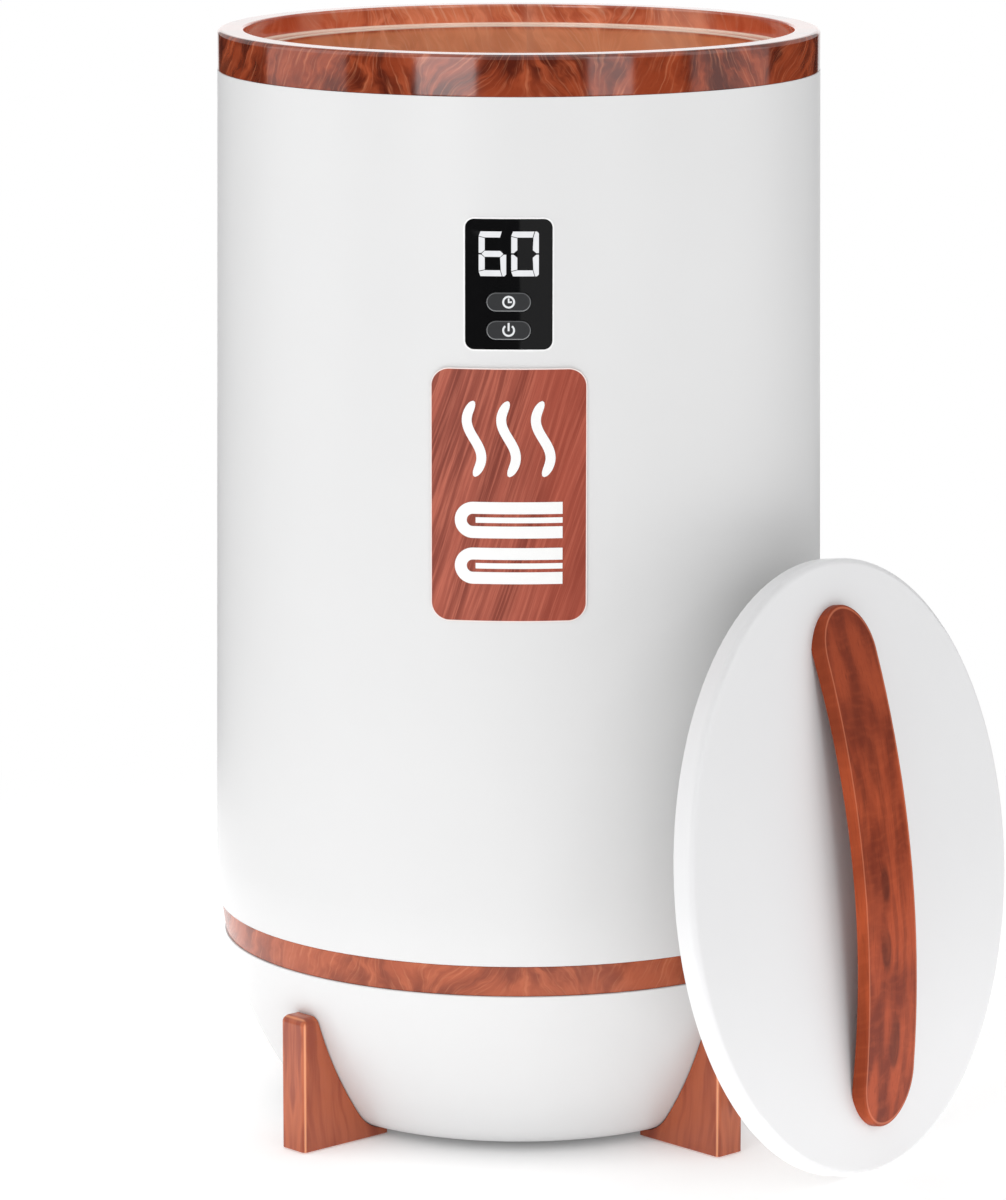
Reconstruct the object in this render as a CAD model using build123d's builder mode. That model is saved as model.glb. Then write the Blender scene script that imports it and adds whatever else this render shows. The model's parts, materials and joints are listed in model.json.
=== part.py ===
from build123d import *
import os
from math import asin, cos, radians, sin, sqrt, tan

# A bucket towel warmer on four legs, with its lid taken off and leaned against its right side.
# Millimetres. The origin is on the body's axis at floor level, +Z is up and the front faces -Y.
# Radii and depths below are measured from that axis, and drops from the top of the trim ring.

os.makedirs("parts", exist_ok=True)

# Body outline
body_height = 531.7  # floor to the top of the trim ring
shell_top_radius = 145.2
wall_draft = radians(0.55)  # the wall widens downwards
wall_bottom = 126.5  # the straight wall ends here, and the base curves in below it
upper_curve_radius = 191.0
lower_curve_radius = 21.4
base_clearance = 4.0  # floor to the flat underside
shell_wall = 2.5
bowl_wall = 3.0
edge_break = 0.4
reach_past = 10.0  # how far cutting planes start in front of the wall

# General clearances
fit_gap = 0.3  # between pieces that slip together
inlay_gap = 0.05  # around the digit windows and the switch plungers
glue_gap = 0.15

# Top trim ring
ring_height = 19.3
ring_inset = 0.2
rim_width = 12.5
lid_recess = 9.7  # rim down to the ledge
ledge_width = 8.5
skirt_length = 22.0
ring_wall = 2.5
ring_outer_round = 2.0
ring_inner_round = 1.2
spigot_length = 9.5
ring_boss_radius = 4.0
bucket_screw_azimuths = (30, 120, 210, 300)

# Lower trim band
band_bottom = 88.2
band_height = 15.1
band_recess = 0.8
band_thickness = 2.2
collar_wall = 2.6
collar_rise = 9.0  # above the band
collar_root = 8.0  # below the band
shell_foot_height = 4.0

# Legs
leg_inset = 0.2  # of the outer faces, from the wall's foot
leg_thickness = 16.7
leg_height = 66.8
leg_edge_round = 2.0
leg_top_round = 3.6
leg_screw_angles = (24.0, 32.0)  # down the base's curve from level
leg_spot_depth = 0.9  # how deep the screw heads sit in the bowl's wall
pad_width = 9.0
pad_length = 34.0
pad_thickness = 1.6
pad_proud = 0.8
pad_shift = 2.25  # outwards from the middle of the leg's underside

# Inner bucket
bucket_wall = 1.0
bucket_step = 2.5  # from the ring's skirt in to the bucket's mouth
bucket_taper = 5.5  # how much narrower its floor is
bucket_underside = 116.0
bucket_corner = 12.0

# Heating and insulation round the bucket
heater_rise = 19.0  # from the bucket's underside
heater_drop = 80.0  # from the bucket's mouth to the film
heater_thickness = 1.2
heater_seam = 12.0  # degrees left open where the film's ends meet
jacket_drop = 10.0  # from the bucket's mouth to the jacket
jacket_thickness = 6.0
lead_radius = 1.0
lead_spacing = 9.0
lead_bend = 12.0
base_pad_radius = 111.0
base_pad_thickness = 12.0

# Deck between the bucket and the electronics
deck_thickness = 4.0
pillar_radius = 5.5
pillar_circle = 84.0
deck_slot = 6.0  # how far out the slots for the leads and the cable run
deck_slot_margin = 2.0
deck_head_sink = 0.4  # screw heads below the deck's top

# Underside cover
cover_thickness = 2.5
opening_radius = 66.0
cover_overlap = 12.0
cover_boss_height = 9.0
vent_count = 12
vent_circle = 38.0
vent_length = 26.0
vent_width = 4.0

# Screws
screw_radius = 1.5
screw_head_radius = 2.9
screw_head_height = 1.8
screw_length = 10.0
screw_play = 0.15
small_screw_radius = 1.0
small_screw_head_radius = 1.9
small_screw_head_height = 1.2
small_screw_length = 4.5
cross_length = 1.2  # of the cross in a head, as a share of the head's radius
cross_width = 0.3
cross_depth = 0.5  # as a share of the head's height

# Control panel
panel_drop = 105.3  # to the panel's centre
panel_width = 40.2
panel_height = 60.3
panel_corner = 4.1
panel_gap = 0.3
fascia_thickness = 2.5
fascia_proud = 0.3
frame_rib = 4.5
frame_depth = 10.4  # panel face to the frame's flat back
housing_depth = 15.4
housing_wall = 1.5
housing_flange = 2.0
housing_screw_rise = 20.0  # above and below the panel's centre
housing_post_radius = 2.4
board_thickness = 1.6
board_standoff = 1.2
board_margin = 0.6
board_hole_inset = 2.6

# Digits behind the panel
digits_rise = 14.1  # above the panel's centre
digit_width = 12.6
digit_height = 20.6
digit_gap = 2.4
digit_stroke = 2.7
segment_gap = 0.4
segment_corner = 0.3  # cut off the digits' corners, as a share of the stroke
segment_mitre = 0.75  # where the slanted cuts between the segments start
segment_point = 0.4
module_thickness = 6.2
module_margin = 1.0

# Keys
timer_fall = 8.1  # below the panel's centre
power_fall = 21.2
key_width = 20.4
key_height = 8.7
key_gap = 0.35
key_proud = 0.5
key_round = 0.45
key_travel = 0.8
key_flange = 1.0
key_lip = 1.2
key_stem_radius = 2.2
switch_width = 6.0
switch_height = 4.3
plunger_radius = 1.5
plunger_seat = 1.4  # how deep the plunger stands in its switch

# Front plaque
plaque_gap = 8.75  # under the panel
plaque_width = 72.6
plaque_height = 118.8
plaque_corner = 8.8
plaque_thickness = 0.8

# Cord gland at the back
gland_height = 142.0
gland_bore = 3.6  # grips the cord over gland_grip
gland_grip = 3.5
gland_throat = 4.4  # wider bore behind the grip
gland_radius = 8.0
gland_flange_radius = 11.0
gland_flange = 4.0
gland_round = 1.0
gland_seat_radius = 13.0
gland_seat_proud = 1.0
gland_seat_depth = 2.0  # behind the wall's inner face
gland_nut_width = 20.0
gland_nut_height = 4.0
gland_tail = 3.0

# Power board under the deck
board_length = 90.0
board_width = 64.0
board_drop = 12.0  # deck underside to the board
board_screw_inset = 5.0
standoff_radius = 3.5
cable_width = 10.0
cable_thickness = 1.2
cable_bend = 20.0
cable_slot_play = 1.0
capacitor_x = 28.0
capacitor_radius = 7.0
capacitor_height = 20.0
capacitor_round = 1.0

# Sensors on the bucket's underside
thermostat_radius = 8.0
thermostat_height = 9.0
thermostat_offset = 45.0
bracket_length = 27.0
bracket_width = 7.0
bracket_thickness = 1.0
fuse_radius = 2.2
fuse_length = 16.0
fuse_offset = 60.0
fuse_clamp_length = 5.4
fuse_clamp_width = 5.2
sensor_radius = 3.0
sensor_height = 8.0
sensor_offset = 50.0
pocket_gap = 1.0

# Lid
lid_overhang = 1.0  # past the trim ring
lid_thickness = 10.0
lid_edge_round = 3.0
lid_wall = 2.5
plug_gap = 2.0
ledge_gap = 0.7
cap_step = 14.5  # from the plug's edge in to the tapered cap under it
cap_taper = 32.0  # from the cap's root in to its flat underside
cap_depth = 32.0  # below the lid's rim plane
liner_thickness = 2.0
liner_screw_inset = 9.0  # from the plug's edge
liner_boss_radius = 4.0
seal_height = 3.4
seal_depth = 2.2
seal_lip = 1.2
seal_drop = 3.2  # below the lid's rim plane
seal_play = 0.1

# Lid handle
handle_length = 249.0
handle_width = 47.0
handle_rise = 12.0  # finger room under the middle
handle_foot = 18.0
handle_thickness = 5.2
handle_tip_thickness = 3.4
handle_round = 1.0
handle_screw_inset = 10.5
handle_screw_reach = 2.4

# How the lid leans
lid_azimuth = 58.7  # of its outer face, from the front towards the right
lid_tilt = 7.7
lid_offset = -16.1  # sideways along the lid
handle_spin = 1.8  # of the handle's upper end, towards the back
lean_gap = 0.3


# Levels and radii that follow from the sizes above
shell_top = body_height - ring_height
wall_bottom_radius = shell_top_radius + (shell_top - wall_bottom) * tan(wall_draft)
upper_centre = (
    wall_bottom_radius - upper_curve_radius * cos(wall_draft),
    wall_bottom - upper_curve_radius * sin(wall_draft),
)
knee_angle = asin(
    (upper_centre[1] - lower_curve_radius - base_clearance) / (upper_curve_radius - lower_curve_radius)
)
lower_centre = (
    upper_centre[0] + (upper_curve_radius - lower_curve_radius) * cos(knee_angle),
    base_clearance + lower_curve_radius,
)
flat_radius = lower_centre[0]
leg_radius = wall_bottom_radius - leg_inset


def join_height(depth):
    """Height where the straight wall meets the base's upper curve, on a surface depth inside."""
    return upper_centre[1] + (upper_curve_radius - depth) * sin(wall_draft)


def knee_height(depth):
    """Height where the base's two curves meet, on a surface depth inside."""
    return upper_centre[1] - (upper_curve_radius - depth) * sin(knee_angle)


def surface_radius(height, depth=0.0):
    """Radius of the body's outside at a height, or of the surface depth inside it."""
    if height >= join_height(depth):
        return shell_top_radius + (shell_top - height) * tan(wall_draft) - depth / cos(wall_draft)
    centre, radius = upper_centre, upper_curve_radius - depth
    if height < knee_height(depth):
        centre, radius = lower_centre, lower_curve_radius - depth
    return centre[0] + sqrt(max(0.0, radius**2 - (centre[1] - height) ** 2))


def body_outline(top, bottom, depth=0.0):
    """Draw the body's outline between two heights, or that of the surface depth inside it."""
    joins = [z for z in (join_height(depth), knee_height(depth)) if bottom < z < top]
    heights = [top, *joins, bottom]
    for upper, lower in zip(heights, heights[1:]):
        middle = (upper + lower) / 2
        ends = [(surface_radius(z, depth), z) for z in (upper, middle, lower)]
        if lower >= join_height(depth):
            Line(ends[0], ends[2])
        else:
            ThreePointArc(*ends)


def upright(azimuth):
    """The upright plane through the axis whose X points out at an azimuth from the front."""
    angle = radians(azimuth)
    return Plane(
        origin=(0, 0, 0),
        x_dir=(sin(angle), -cos(angle), 0),
        z_dir=(-cos(angle), -sin(angle), 0),
    )


def place(azimuth, radius, height):
    """A point given by its azimuth from the front, its radius and its height."""
    angle = radians(azimuth)
    return Vector(radius * sin(angle), -radius * cos(angle), height)


def drill(seats, radius, depth):
    """Cut a round hole into the piece being built from each seat, along its Z."""
    for seat in seats:
        with BuildSketch(seat) as hole:
            Circle(radius)
        extrude(hole.sketch, amount=depth, mode=Mode.SUBTRACT)


def stand(seats, radius, height):
    """Add a round boss to the piece being built on each seat, along its Z."""
    for seat in seats:
        with BuildSketch(seat) as boss:
            Circle(radius)
        extrude(boss.sketch, amount=height)


def screw_set(seats, radius, length, head_radius, head_height):
    """Cross-headed screws. Each seat lies under a head, with its Z along the shaft."""
    slot_length, slot_width = head_radius * cross_length, head_radius * cross_width
    with BuildPart() as screws:
        for seat in seats:
            with BuildSketch(seat):
                Circle(head_radius)
            extrude(amount=-head_height)
            with BuildSketch(seat):
                Circle(radius)
            extrude(amount=length)
            with BuildSketch(seat.offset(-head_height)):
                Rectangle(slot_length, slot_width)
                Rectangle(slot_width, slot_length)
            extrude(amount=head_height * cross_depth, mode=Mode.SUBTRACT)
    return screws


def facing(point, direction):
    """A plane at a point with its Z along a direction."""
    return Plane(origin=point, z_dir=direction)


up = (0, 0, 1)
down = (0, 0, -1)
quarter_turns = (45, 135, 225, 315)


# Outer shell
band_top = band_bottom + band_height
collar_radius = surface_radius(band_bottom) - band_recess - band_thickness - fit_gap
panel_height_above_floor = body_height - panel_drop
panel_face = surface_radius(panel_height_above_floor) + fascia_proud
frame_back = panel_face - frame_depth
gland_wall = surface_radius(gland_height)
gland_seat = gland_wall + gland_seat_proud
gland_inner_seat = gland_wall - shell_wall - gland_seat_depth
front_reach = wall_bottom_radius + reach_past

# Screws that hold the control housing onto the frame behind the panel window
housing_screw_x = panel_width / 2 + panel_gap + frame_rib / 2
housing_seats = [
    facing((x, -frame_back + housing_flange, panel_height_above_floor + z), (0, -1, 0))
    for x in (-housing_screw_x, housing_screw_x)
    for z in (-housing_screw_rise, housing_screw_rise)
]

with BuildPart() as outer_shell:
    with BuildSketch(Plane.XZ):
        with BuildLine():
            body_outline(shell_top, band_top + edge_break)
            Polyline(
                (surface_radius(band_top + edge_break), band_top + edge_break),
                (surface_radius(band_top) - edge_break, band_top),
                (collar_radius + fit_gap, band_top),
                (collar_radius + fit_gap, band_top + shell_foot_height),
                (surface_radius(band_top + shell_foot_height, shell_wall), band_top + shell_foot_height),
            )
            body_outline(shell_top, band_top + shell_foot_height, shell_wall)
            Line((surface_radius(shell_top, shell_wall), shell_top), (surface_radius(shell_top), shell_top))
        make_face()
    revolve(axis=Axis.Z)
    # The frame behind the window, with a flat back, joined to the wall's curved inner face
    frame_front = sqrt(surface_radius(panel_height_above_floor) ** 2 - (panel_width / 2) ** 2) - shell_wall
    with BuildSketch(Plane.XZ.offset(frame_back)):
        with Locations((0, panel_height_above_floor)):
            RectangleRounded(
                panel_width + 2 * (panel_gap + frame_rib),
                panel_height + 2 * (panel_gap + frame_rib),
                panel_corner + panel_gap + frame_rib,
            )
    extrude(amount=frame_front + shell_wall / 2 - frame_back)
    # The window
    with BuildSketch(Plane.XZ.offset(front_reach)):
        with Locations((0, panel_height_above_floor)):
            RectangleRounded(
                panel_width + 2 * panel_gap, panel_height + 2 * panel_gap, panel_corner + panel_gap
            )
    extrude(amount=frame_back - front_reach, mode=Mode.SUBTRACT)
    drill(housing_seats, small_screw_radius + inlay_gap, housing_flange + small_screw_length)
    # The flat seats for the cord gland, inside and out
    with BuildSketch(Plane.XZ.offset(-gland_inner_seat)):
        with Locations((0, gland_height)):
            Circle(gland_seat_radius)
    extrude(amount=gland_inner_seat - gland_seat)
    with BuildSketch(Plane.XZ.offset(-gland_inner_seat)):
        with Locations((0, gland_height)):
            Circle(gland_radius + fit_gap)
    extrude(amount=gland_inner_seat - gland_seat, mode=Mode.SUBTRACT)
outer_shell.part.label = "outer_shell"
export_step(outer_shell.part, "parts/outer_shell.step")


# Top trim ring
ring_radius = shell_top_radius - ring_inset
mouth_radius = ring_radius - rim_width
skirt_radius = mouth_radius - ledge_width
ledge_height = body_height - lid_recess
skirt_bottom = ledge_height - skirt_length
spigot_radius = surface_radius(shell_top, shell_wall) - fit_gap
boss_circle = skirt_radius + ring_wall + ring_boss_radius - edge_break
bucket_screw_seats = [
    facing(place(azimuth, boss_circle, skirt_bottom - bucket_wall), up) for azimuth in bucket_screw_azimuths
]

with BuildPart() as top_trim_ring:
    with BuildSketch(Plane.XZ):
        with BuildLine():
            FilletPolyline(
                (spigot_radius, shell_top),
                (ring_radius, shell_top),
                (ring_radius, body_height),
                (mouth_radius, body_height),
                (mouth_radius, ledge_height),
                (skirt_radius, ledge_height),
                (skirt_radius, skirt_bottom),
                radius=[edge_break, ring_outer_round, ring_inner_round, edge_break, edge_break],
            )
            Polyline(
                (skirt_radius, skirt_bottom),
                (skirt_radius + ring_wall, skirt_bottom),
                (skirt_radius + ring_wall, ledge_height - ring_wall),
                (mouth_radius + ring_wall, ledge_height - ring_wall),
                (mouth_radius + ring_wall, body_height - ring_wall),
                (spigot_radius - ring_wall, body_height - ring_wall),
                (spigot_radius - ring_wall, shell_top - spigot_length),
                (spigot_radius, shell_top - spigot_length),
                (spigot_radius, shell_top),
            )
        make_face()
    revolve(axis=Axis.Z)
    boss_seats = [facing(place(azimuth, boss_circle, skirt_bottom), up) for azimuth in bucket_screw_azimuths]
    stand(boss_seats, ring_boss_radius, skirt_length - ring_wall / 2)
    drill(boss_seats, screw_radius + inlay_gap, screw_length)
top_trim_ring.part.label = "top_trim_ring"
export_step(top_trim_ring.part, "parts/top_trim_ring.step")


# Lower trim band
with BuildPart() as base_band:
    with BuildSketch(Plane.XZ):
        with BuildLine():
            body_outline(band_top - edge_break, band_bottom + edge_break, band_recess)
            Polyline(
                (surface_radius(band_bottom + edge_break, band_recess), band_bottom + edge_break),
                (surface_radius(band_bottom, band_recess) - edge_break, band_bottom),
                (collar_radius + fit_gap, band_bottom),
                (collar_radius + fit_gap, band_top),
                (surface_radius(band_top, band_recess) - edge_break, band_top),
                (surface_radius(band_top - edge_break, band_recess), band_top - edge_break),
            )
        make_face()
    revolve(axis=Axis.Z)
base_band.part.label = "base_band"
export_step(base_band.part, "parts/base_band.step")


# Base bowl, with its collar, deck pillars and cover bosses
bowl_floor = base_clearance + bowl_wall
collar_top = band_top + collar_rise
collar_inner = collar_radius - collar_wall
collar_foot = band_bottom - collar_root
deck_top = bucket_underside - fit_gap - base_pad_thickness
deck_underside = deck_top - deck_thickness
deck_screw_level = deck_top - screw_head_height - deck_head_sink
deck_screw_seats = [
    facing(place(azimuth, pillar_circle, deck_screw_level), down) for azimuth in quarter_turns
]
pillar_seats = [
    facing(place(azimuth, pillar_circle, bowl_floor - bowl_wall / 2), up) for azimuth in quarter_turns
]
cover_screw_circle = opening_radius + cover_overlap / 2
cover_screw_azimuths = [60 * i for i in range(6)]
cover_boss_level = bowl_floor - bowl_wall / 2
cover_screw_level = base_clearance - cover_thickness + small_screw_head_height
cover_boss_seats = [
    facing(place(azimuth, cover_screw_circle, cover_boss_level), up) for azimuth in cover_screw_azimuths
]
cover_screw_seats = [
    facing(place(azimuth, cover_screw_circle, cover_screw_level), up) for azimuth in cover_screw_azimuths
]


def leg_screw_seats(azimuth):
    """Seats on the bowl's inner face, one for each of a leg's screws, facing outwards."""
    plane = upright(azimuth)
    seats = []
    for angle in leg_screw_angles:
        level, slope = cos(radians(angle)), sin(radians(angle))
        reach = upper_curve_radius - bowl_wall
        point = plane.from_local_coords((upper_centre[0] + reach * level, upper_centre[1] - reach * slope, 0))
        outwards = plane.x_dir * level - Vector(0, 0, slope)
        seats.append(facing(point, outwards))
    return seats


all_leg_screw_seats = [seat for azimuth in quarter_turns for seat in leg_screw_seats(azimuth)]

with BuildPart() as base_bowl:
    with BuildSketch(Plane.XZ):
        with BuildLine():
            body_outline(band_bottom - edge_break, base_clearance)
            Polyline(
                (flat_radius, base_clearance),
                (opening_radius, base_clearance),
                (opening_radius, bowl_floor),
                (flat_radius, bowl_floor),
            )
            body_outline(collar_foot, bowl_floor, bowl_wall)
            Polyline(
                (surface_radius(collar_foot, bowl_wall), collar_foot),
                (collar_inner, collar_foot),
                (collar_inner, collar_top),
                (collar_radius, collar_top),
                (collar_radius, band_bottom),
                (surface_radius(band_bottom) - edge_break, band_bottom),
                (surface_radius(band_bottom - edge_break), band_bottom - edge_break),
            )
        make_face()
    revolve(axis=Axis.Z)
    stand(pillar_seats, pillar_radius, deck_underside - bowl_floor + bowl_wall / 2)
    drill(deck_screw_seats, screw_radius + inlay_gap, screw_length)
    stand(cover_boss_seats, ring_boss_radius, cover_boss_height)
    drill(cover_screw_seats, small_screw_radius + inlay_gap, screw_length)
    # Spot-faced seats inside for the leg screws
    for seat in all_leg_screw_seats:
        with BuildSketch(seat.offset(-bowl_wall)) as spot:
            Circle(screw_head_radius + fit_gap)
        extrude(spot.sketch, amount=bowl_wall + leg_spot_depth, mode=Mode.SUBTRACT)
        with BuildSketch(seat) as hole:
            Circle(screw_radius + screw_play)
        extrude(hole.sketch, amount=2 * bowl_wall, mode=Mode.SUBTRACT)
base_bowl.part.label = "base_bowl"
export_step(base_bowl.part, "parts/base_bowl.step")
leg_seats = [seat.offset(leg_spot_depth) for seat in all_leg_screw_seats]
leg_screws = screw_set(leg_seats, screw_radius, screw_length, screw_head_radius, screw_head_height)
leg_screws.part.label = "leg_screws"
export_step(leg_screws.part, "parts/leg_screws.step")


# Underside cover
with BuildPart() as base_cover:
    with BuildSketch(Plane.XY.offset(base_clearance - cover_thickness)):
        Circle(opening_radius + cover_overlap)
        with PolarLocations(vent_circle, vent_count):
            SlotOverall(vent_length, vent_width, mode=Mode.SUBTRACT)
    extrude(amount=cover_thickness)
    rim_edges = base_cover.edges().filter_by(GeomType.CIRCLE).sort_by(SortBy.RADIUS)[-2:]
    fillet(rim_edges.sort_by(Axis.Z)[0], edge_break)
    for seat in cover_screw_seats:
        with BuildSketch(seat):
            Circle(small_screw_head_radius + screw_play)
        extrude(amount=-cover_thickness, mode=Mode.SUBTRACT)
    drill(cover_screw_seats, small_screw_radius + screw_play, cover_thickness)
base_cover.part.label = "base_cover"
export_step(base_cover.part, "parts/base_cover.step")
base_cover_screws = screw_set(
    cover_screw_seats, small_screw_radius, screw_length, small_screw_head_radius, small_screw_head_height
)
base_cover_screws.part.label = "base_cover_screws"
export_step(base_cover_screws.part, "parts/base_cover_screws.step")


# Legs and their foot pads
pad_centre = (flat_radius + leg_radius) / 2 + pad_shift
pad_recess = pad_thickness - pad_proud


def make_leg(azimuth):
    """A leg whose inner edge follows the bowl, drawn in its upright plane."""
    with BuildPart() as leg:
        with BuildSketch(upright(azimuth)):
            with BuildLine():
                body_outline(leg_height, base_clearance - fit_gap, -fit_gap)
                Polyline(
                    (flat_radius, base_clearance - fit_gap),
                    (flat_radius, pad_proud),
                    (leg_radius, pad_proud),
                    (leg_radius, leg_height),
                    (surface_radius(leg_height, -fit_gap), leg_height),
                )
            make_face()
        extrude(amount=leg_thickness / 2, both=True)
        outwards = upright(azimuth).x_dir
        outer_face = leg.faces().filter_by(GeomType.PLANE).sort_by(Axis((0, 0, 0), tuple(outwards)))[-1]
        fillet(outer_face.edges().filter_by(Axis.Z), leg_edge_round)
        top_face = leg.faces().sort_by(Axis.Z)[-1]
        inner_edge = top_face.edges().sort_by(Axis((0, 0, 0), tuple(outwards)))[0]
        fillet([edge for edge in top_face.edges() if edge != inner_edge], leg_top_round)
        with BuildSketch(Plane.XY.offset(pad_proud)):
            with Locations(Location(place(azimuth, pad_centre, 0), (0, 0, azimuth - 90))):
                SlotOverall(pad_length + 2 * inlay_gap, pad_width + 2 * inlay_gap)
        extrude(amount=pad_recess, mode=Mode.SUBTRACT)
        drill(leg_screw_seats(azimuth), screw_radius + inlay_gap, screw_length + 2 * bowl_wall)
    return leg


leg_names = {"leg_front_left": -45, "leg_front_right": 45, "leg_rear_left": -135, "leg_rear_right": 135}
for leg_name, leg_azimuth in leg_names.items():
    leg = make_leg(leg_azimuth)
    leg.part.label = leg_name
    export_step(leg.part, f"parts/{leg_name}.step")

with BuildPart() as foot_pads:
    with BuildSketch():
        for azimuth in leg_names.values():
            with Locations(Location(place(azimuth, pad_centre, 0), (0, 0, azimuth - 90))):
                SlotOverall(pad_length, pad_width)
    extrude(amount=pad_thickness)
foot_pads.part.label = "foot_pads"
export_step(foot_pads.part, "parts/foot_pads.step")


# Inner bucket, hung by its flange under the ring's skirt
bucket_mouth = skirt_radius - bucket_step
bucket_floor_radius = bucket_mouth - bucket_taper
bucket_floor = bucket_underside + bucket_wall
bucket_flange_radius = boss_circle + ring_boss_radius


def bucket_outside(height):
    """Radius of the bucket's tapered outer wall at a height."""
    share = (height - bucket_underside) / (skirt_bottom - bucket_underside)
    return bucket_floor_radius + bucket_wall + bucket_taper * share


with BuildPart() as inner_bucket:
    with BuildSketch(Plane.XZ):
        with BuildLine():
            FilletPolyline(
                (bucket_mouth, skirt_bottom),
                (bucket_floor_radius, bucket_floor),
                (0, bucket_floor),
                radius=bucket_corner,
            )
            Line((0, bucket_floor), (0, bucket_underside))
            FilletPolyline(
                (0, bucket_underside),
                (bucket_floor_radius + bucket_wall, bucket_underside),
                (bucket_mouth + bucket_wall, skirt_bottom - bucket_wall),
                radius=bucket_corner + bucket_wall,
            )
            Polyline(
                (bucket_mouth + bucket_wall, skirt_bottom - bucket_wall),
                (bucket_flange_radius, skirt_bottom - bucket_wall),
                (bucket_flange_radius, skirt_bottom),
                (bucket_mouth, skirt_bottom),
            )
        make_face()
    revolve(axis=Axis.Z)
    drill(bucket_screw_seats, screw_radius + screw_play, bucket_wall)
inner_bucket.part.label = "inner_bucket"
export_step(inner_bucket.part, "parts/inner_bucket.step")
bucket_screws = screw_set(
    bucket_screw_seats, screw_radius, screw_length, screw_head_radius, screw_head_height
)
bucket_screws.part.label = "bucket_screws"
export_step(bucket_screws.part, "parts/bucket_screws.step")


# Heating film and insulation jacket
heater_bottom = bucket_underside + heater_rise
heater_top = skirt_bottom - heater_drop
with BuildPart() as heater_film:
    with BuildSketch(Plane.XZ):
        with BuildLine():
            Polyline(
                (bucket_outside(heater_bottom) + fit_gap, heater_bottom),
                (bucket_outside(heater_top) + fit_gap, heater_top),
                (bucket_outside(heater_top) + fit_gap + heater_thickness, heater_top),
                (bucket_outside(heater_bottom) + fit_gap + heater_thickness, heater_bottom),
                close=True,
            )
        make_face()
    revolve(axis=Axis.Z, revolution_arc=360 - heater_seam)
heater_film.part.label = "heater_film"
export_step(heater_film.part, "parts/heater_film.step")

jacket_top = skirt_bottom - jacket_drop
jacket_gap = 2 * fit_gap + heater_thickness
with BuildPart() as insulation_jacket:
    with BuildSketch(Plane.XZ):
        with BuildLine():
            Polyline(
                (bucket_outside(heater_bottom) + jacket_gap, heater_bottom),
                (bucket_outside(jacket_top) + jacket_gap, jacket_top),
                (bucket_outside(jacket_top) + jacket_gap + jacket_thickness, jacket_top),
                (bucket_outside(heater_bottom) + jacket_gap + jacket_thickness, heater_bottom),
                close=True,
            )
        make_face()
    revolve(axis=Axis.Z)
insulation_jacket.part.label = "insulation_jacket"
export_step(insulation_jacket.part, "parts/insulation_jacket.step")


# Sensors on the bucket's underside, and the pad under it with a pocket for each
with BuildPart() as overheat_thermostat:
    with BuildSketch(Plane.XY.offset(bucket_underside - thermostat_height)):
        with Locations((thermostat_offset, 0)):
            Circle(thermostat_radius)
    extrude(amount=thermostat_height)
    with BuildSketch(Plane.XY.offset(bucket_underside)):
        with Locations((thermostat_offset, 0)):
            SlotOverall(bracket_length, bracket_width)
    extrude(amount=-bracket_thickness)
overheat_thermostat.part.label = "overheat_thermostat"
export_step(overheat_thermostat.part, "parts/overheat_thermostat.step")

with BuildPart() as thermal_fuse:
    with BuildSketch(Plane.YZ.offset(-fuse_offset)):
        with Locations((0, bucket_underside - 2 * fuse_radius)):
            Circle(fuse_radius)
    extrude(amount=fuse_length / 2, both=True)
    with BuildSketch(Plane.XY.offset(bucket_underside)):
        with Locations((-fuse_offset, 0)):
            Rectangle(fuse_clamp_length, fuse_clamp_width)
    extrude(amount=-2 * fuse_radius)
thermal_fuse.part.label = "thermal_fuse"
export_step(thermal_fuse.part, "parts/thermal_fuse.step")

with BuildPart() as temperature_sensor:
    with BuildSketch(Plane.XY.offset(bucket_underside)):
        with Locations((0, -sensor_offset)):
            Circle(sensor_radius)
    extrude(amount=-sensor_height)
temperature_sensor.part.label = "temperature_sensor"
export_step(temperature_sensor.part, "parts/temperature_sensor.step")

with BuildPart() as base_pad:
    with BuildSketch(Plane.XY.offset(deck_top)):
        Circle(base_pad_radius)
        with Locations((thermostat_offset, 0)):
            SlotOverall(
                bracket_length + 2 * pocket_gap, 2 * (thermostat_radius + pocket_gap), mode=Mode.SUBTRACT
            )
        with Locations((-fuse_offset, 0)):
            Rectangle(fuse_length + 2 * pocket_gap, 2 * (2 * fuse_radius + pocket_gap), mode=Mode.SUBTRACT)
        with Locations((0, -sensor_offset)):
            Circle(sensor_radius + pocket_gap, mode=Mode.SUBTRACT)
    extrude(amount=base_pad_thickness)
base_pad.part.label = "base_pad"
export_step(base_pad.part, "parts/base_pad.step")


# Deck, with standoffs for the power board and slots for the leads
deck_radius = collar_inner - fit_gap
power_board_top = deck_underside - board_drop
board_hole_x = board_length / 2 - board_screw_inset
board_hole_y = board_width / 2 - board_screw_inset
board_points = [(x, y) for x in (-board_hole_x, board_hole_x) for y in (-board_hole_y, board_hole_y)]
standoff_seats = [facing((x, y, power_board_top), up) for x, y in board_points]
board_screw_seats = [facing((x, y, power_board_top - board_thickness), up) for x, y in board_points]
lead_radius_from_axis = bucket_outside(heater_bottom) + fit_gap + lead_radius
cable_y = panel_face - housing_depth + housing_wall + board_standoff + board_thickness / 2

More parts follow.
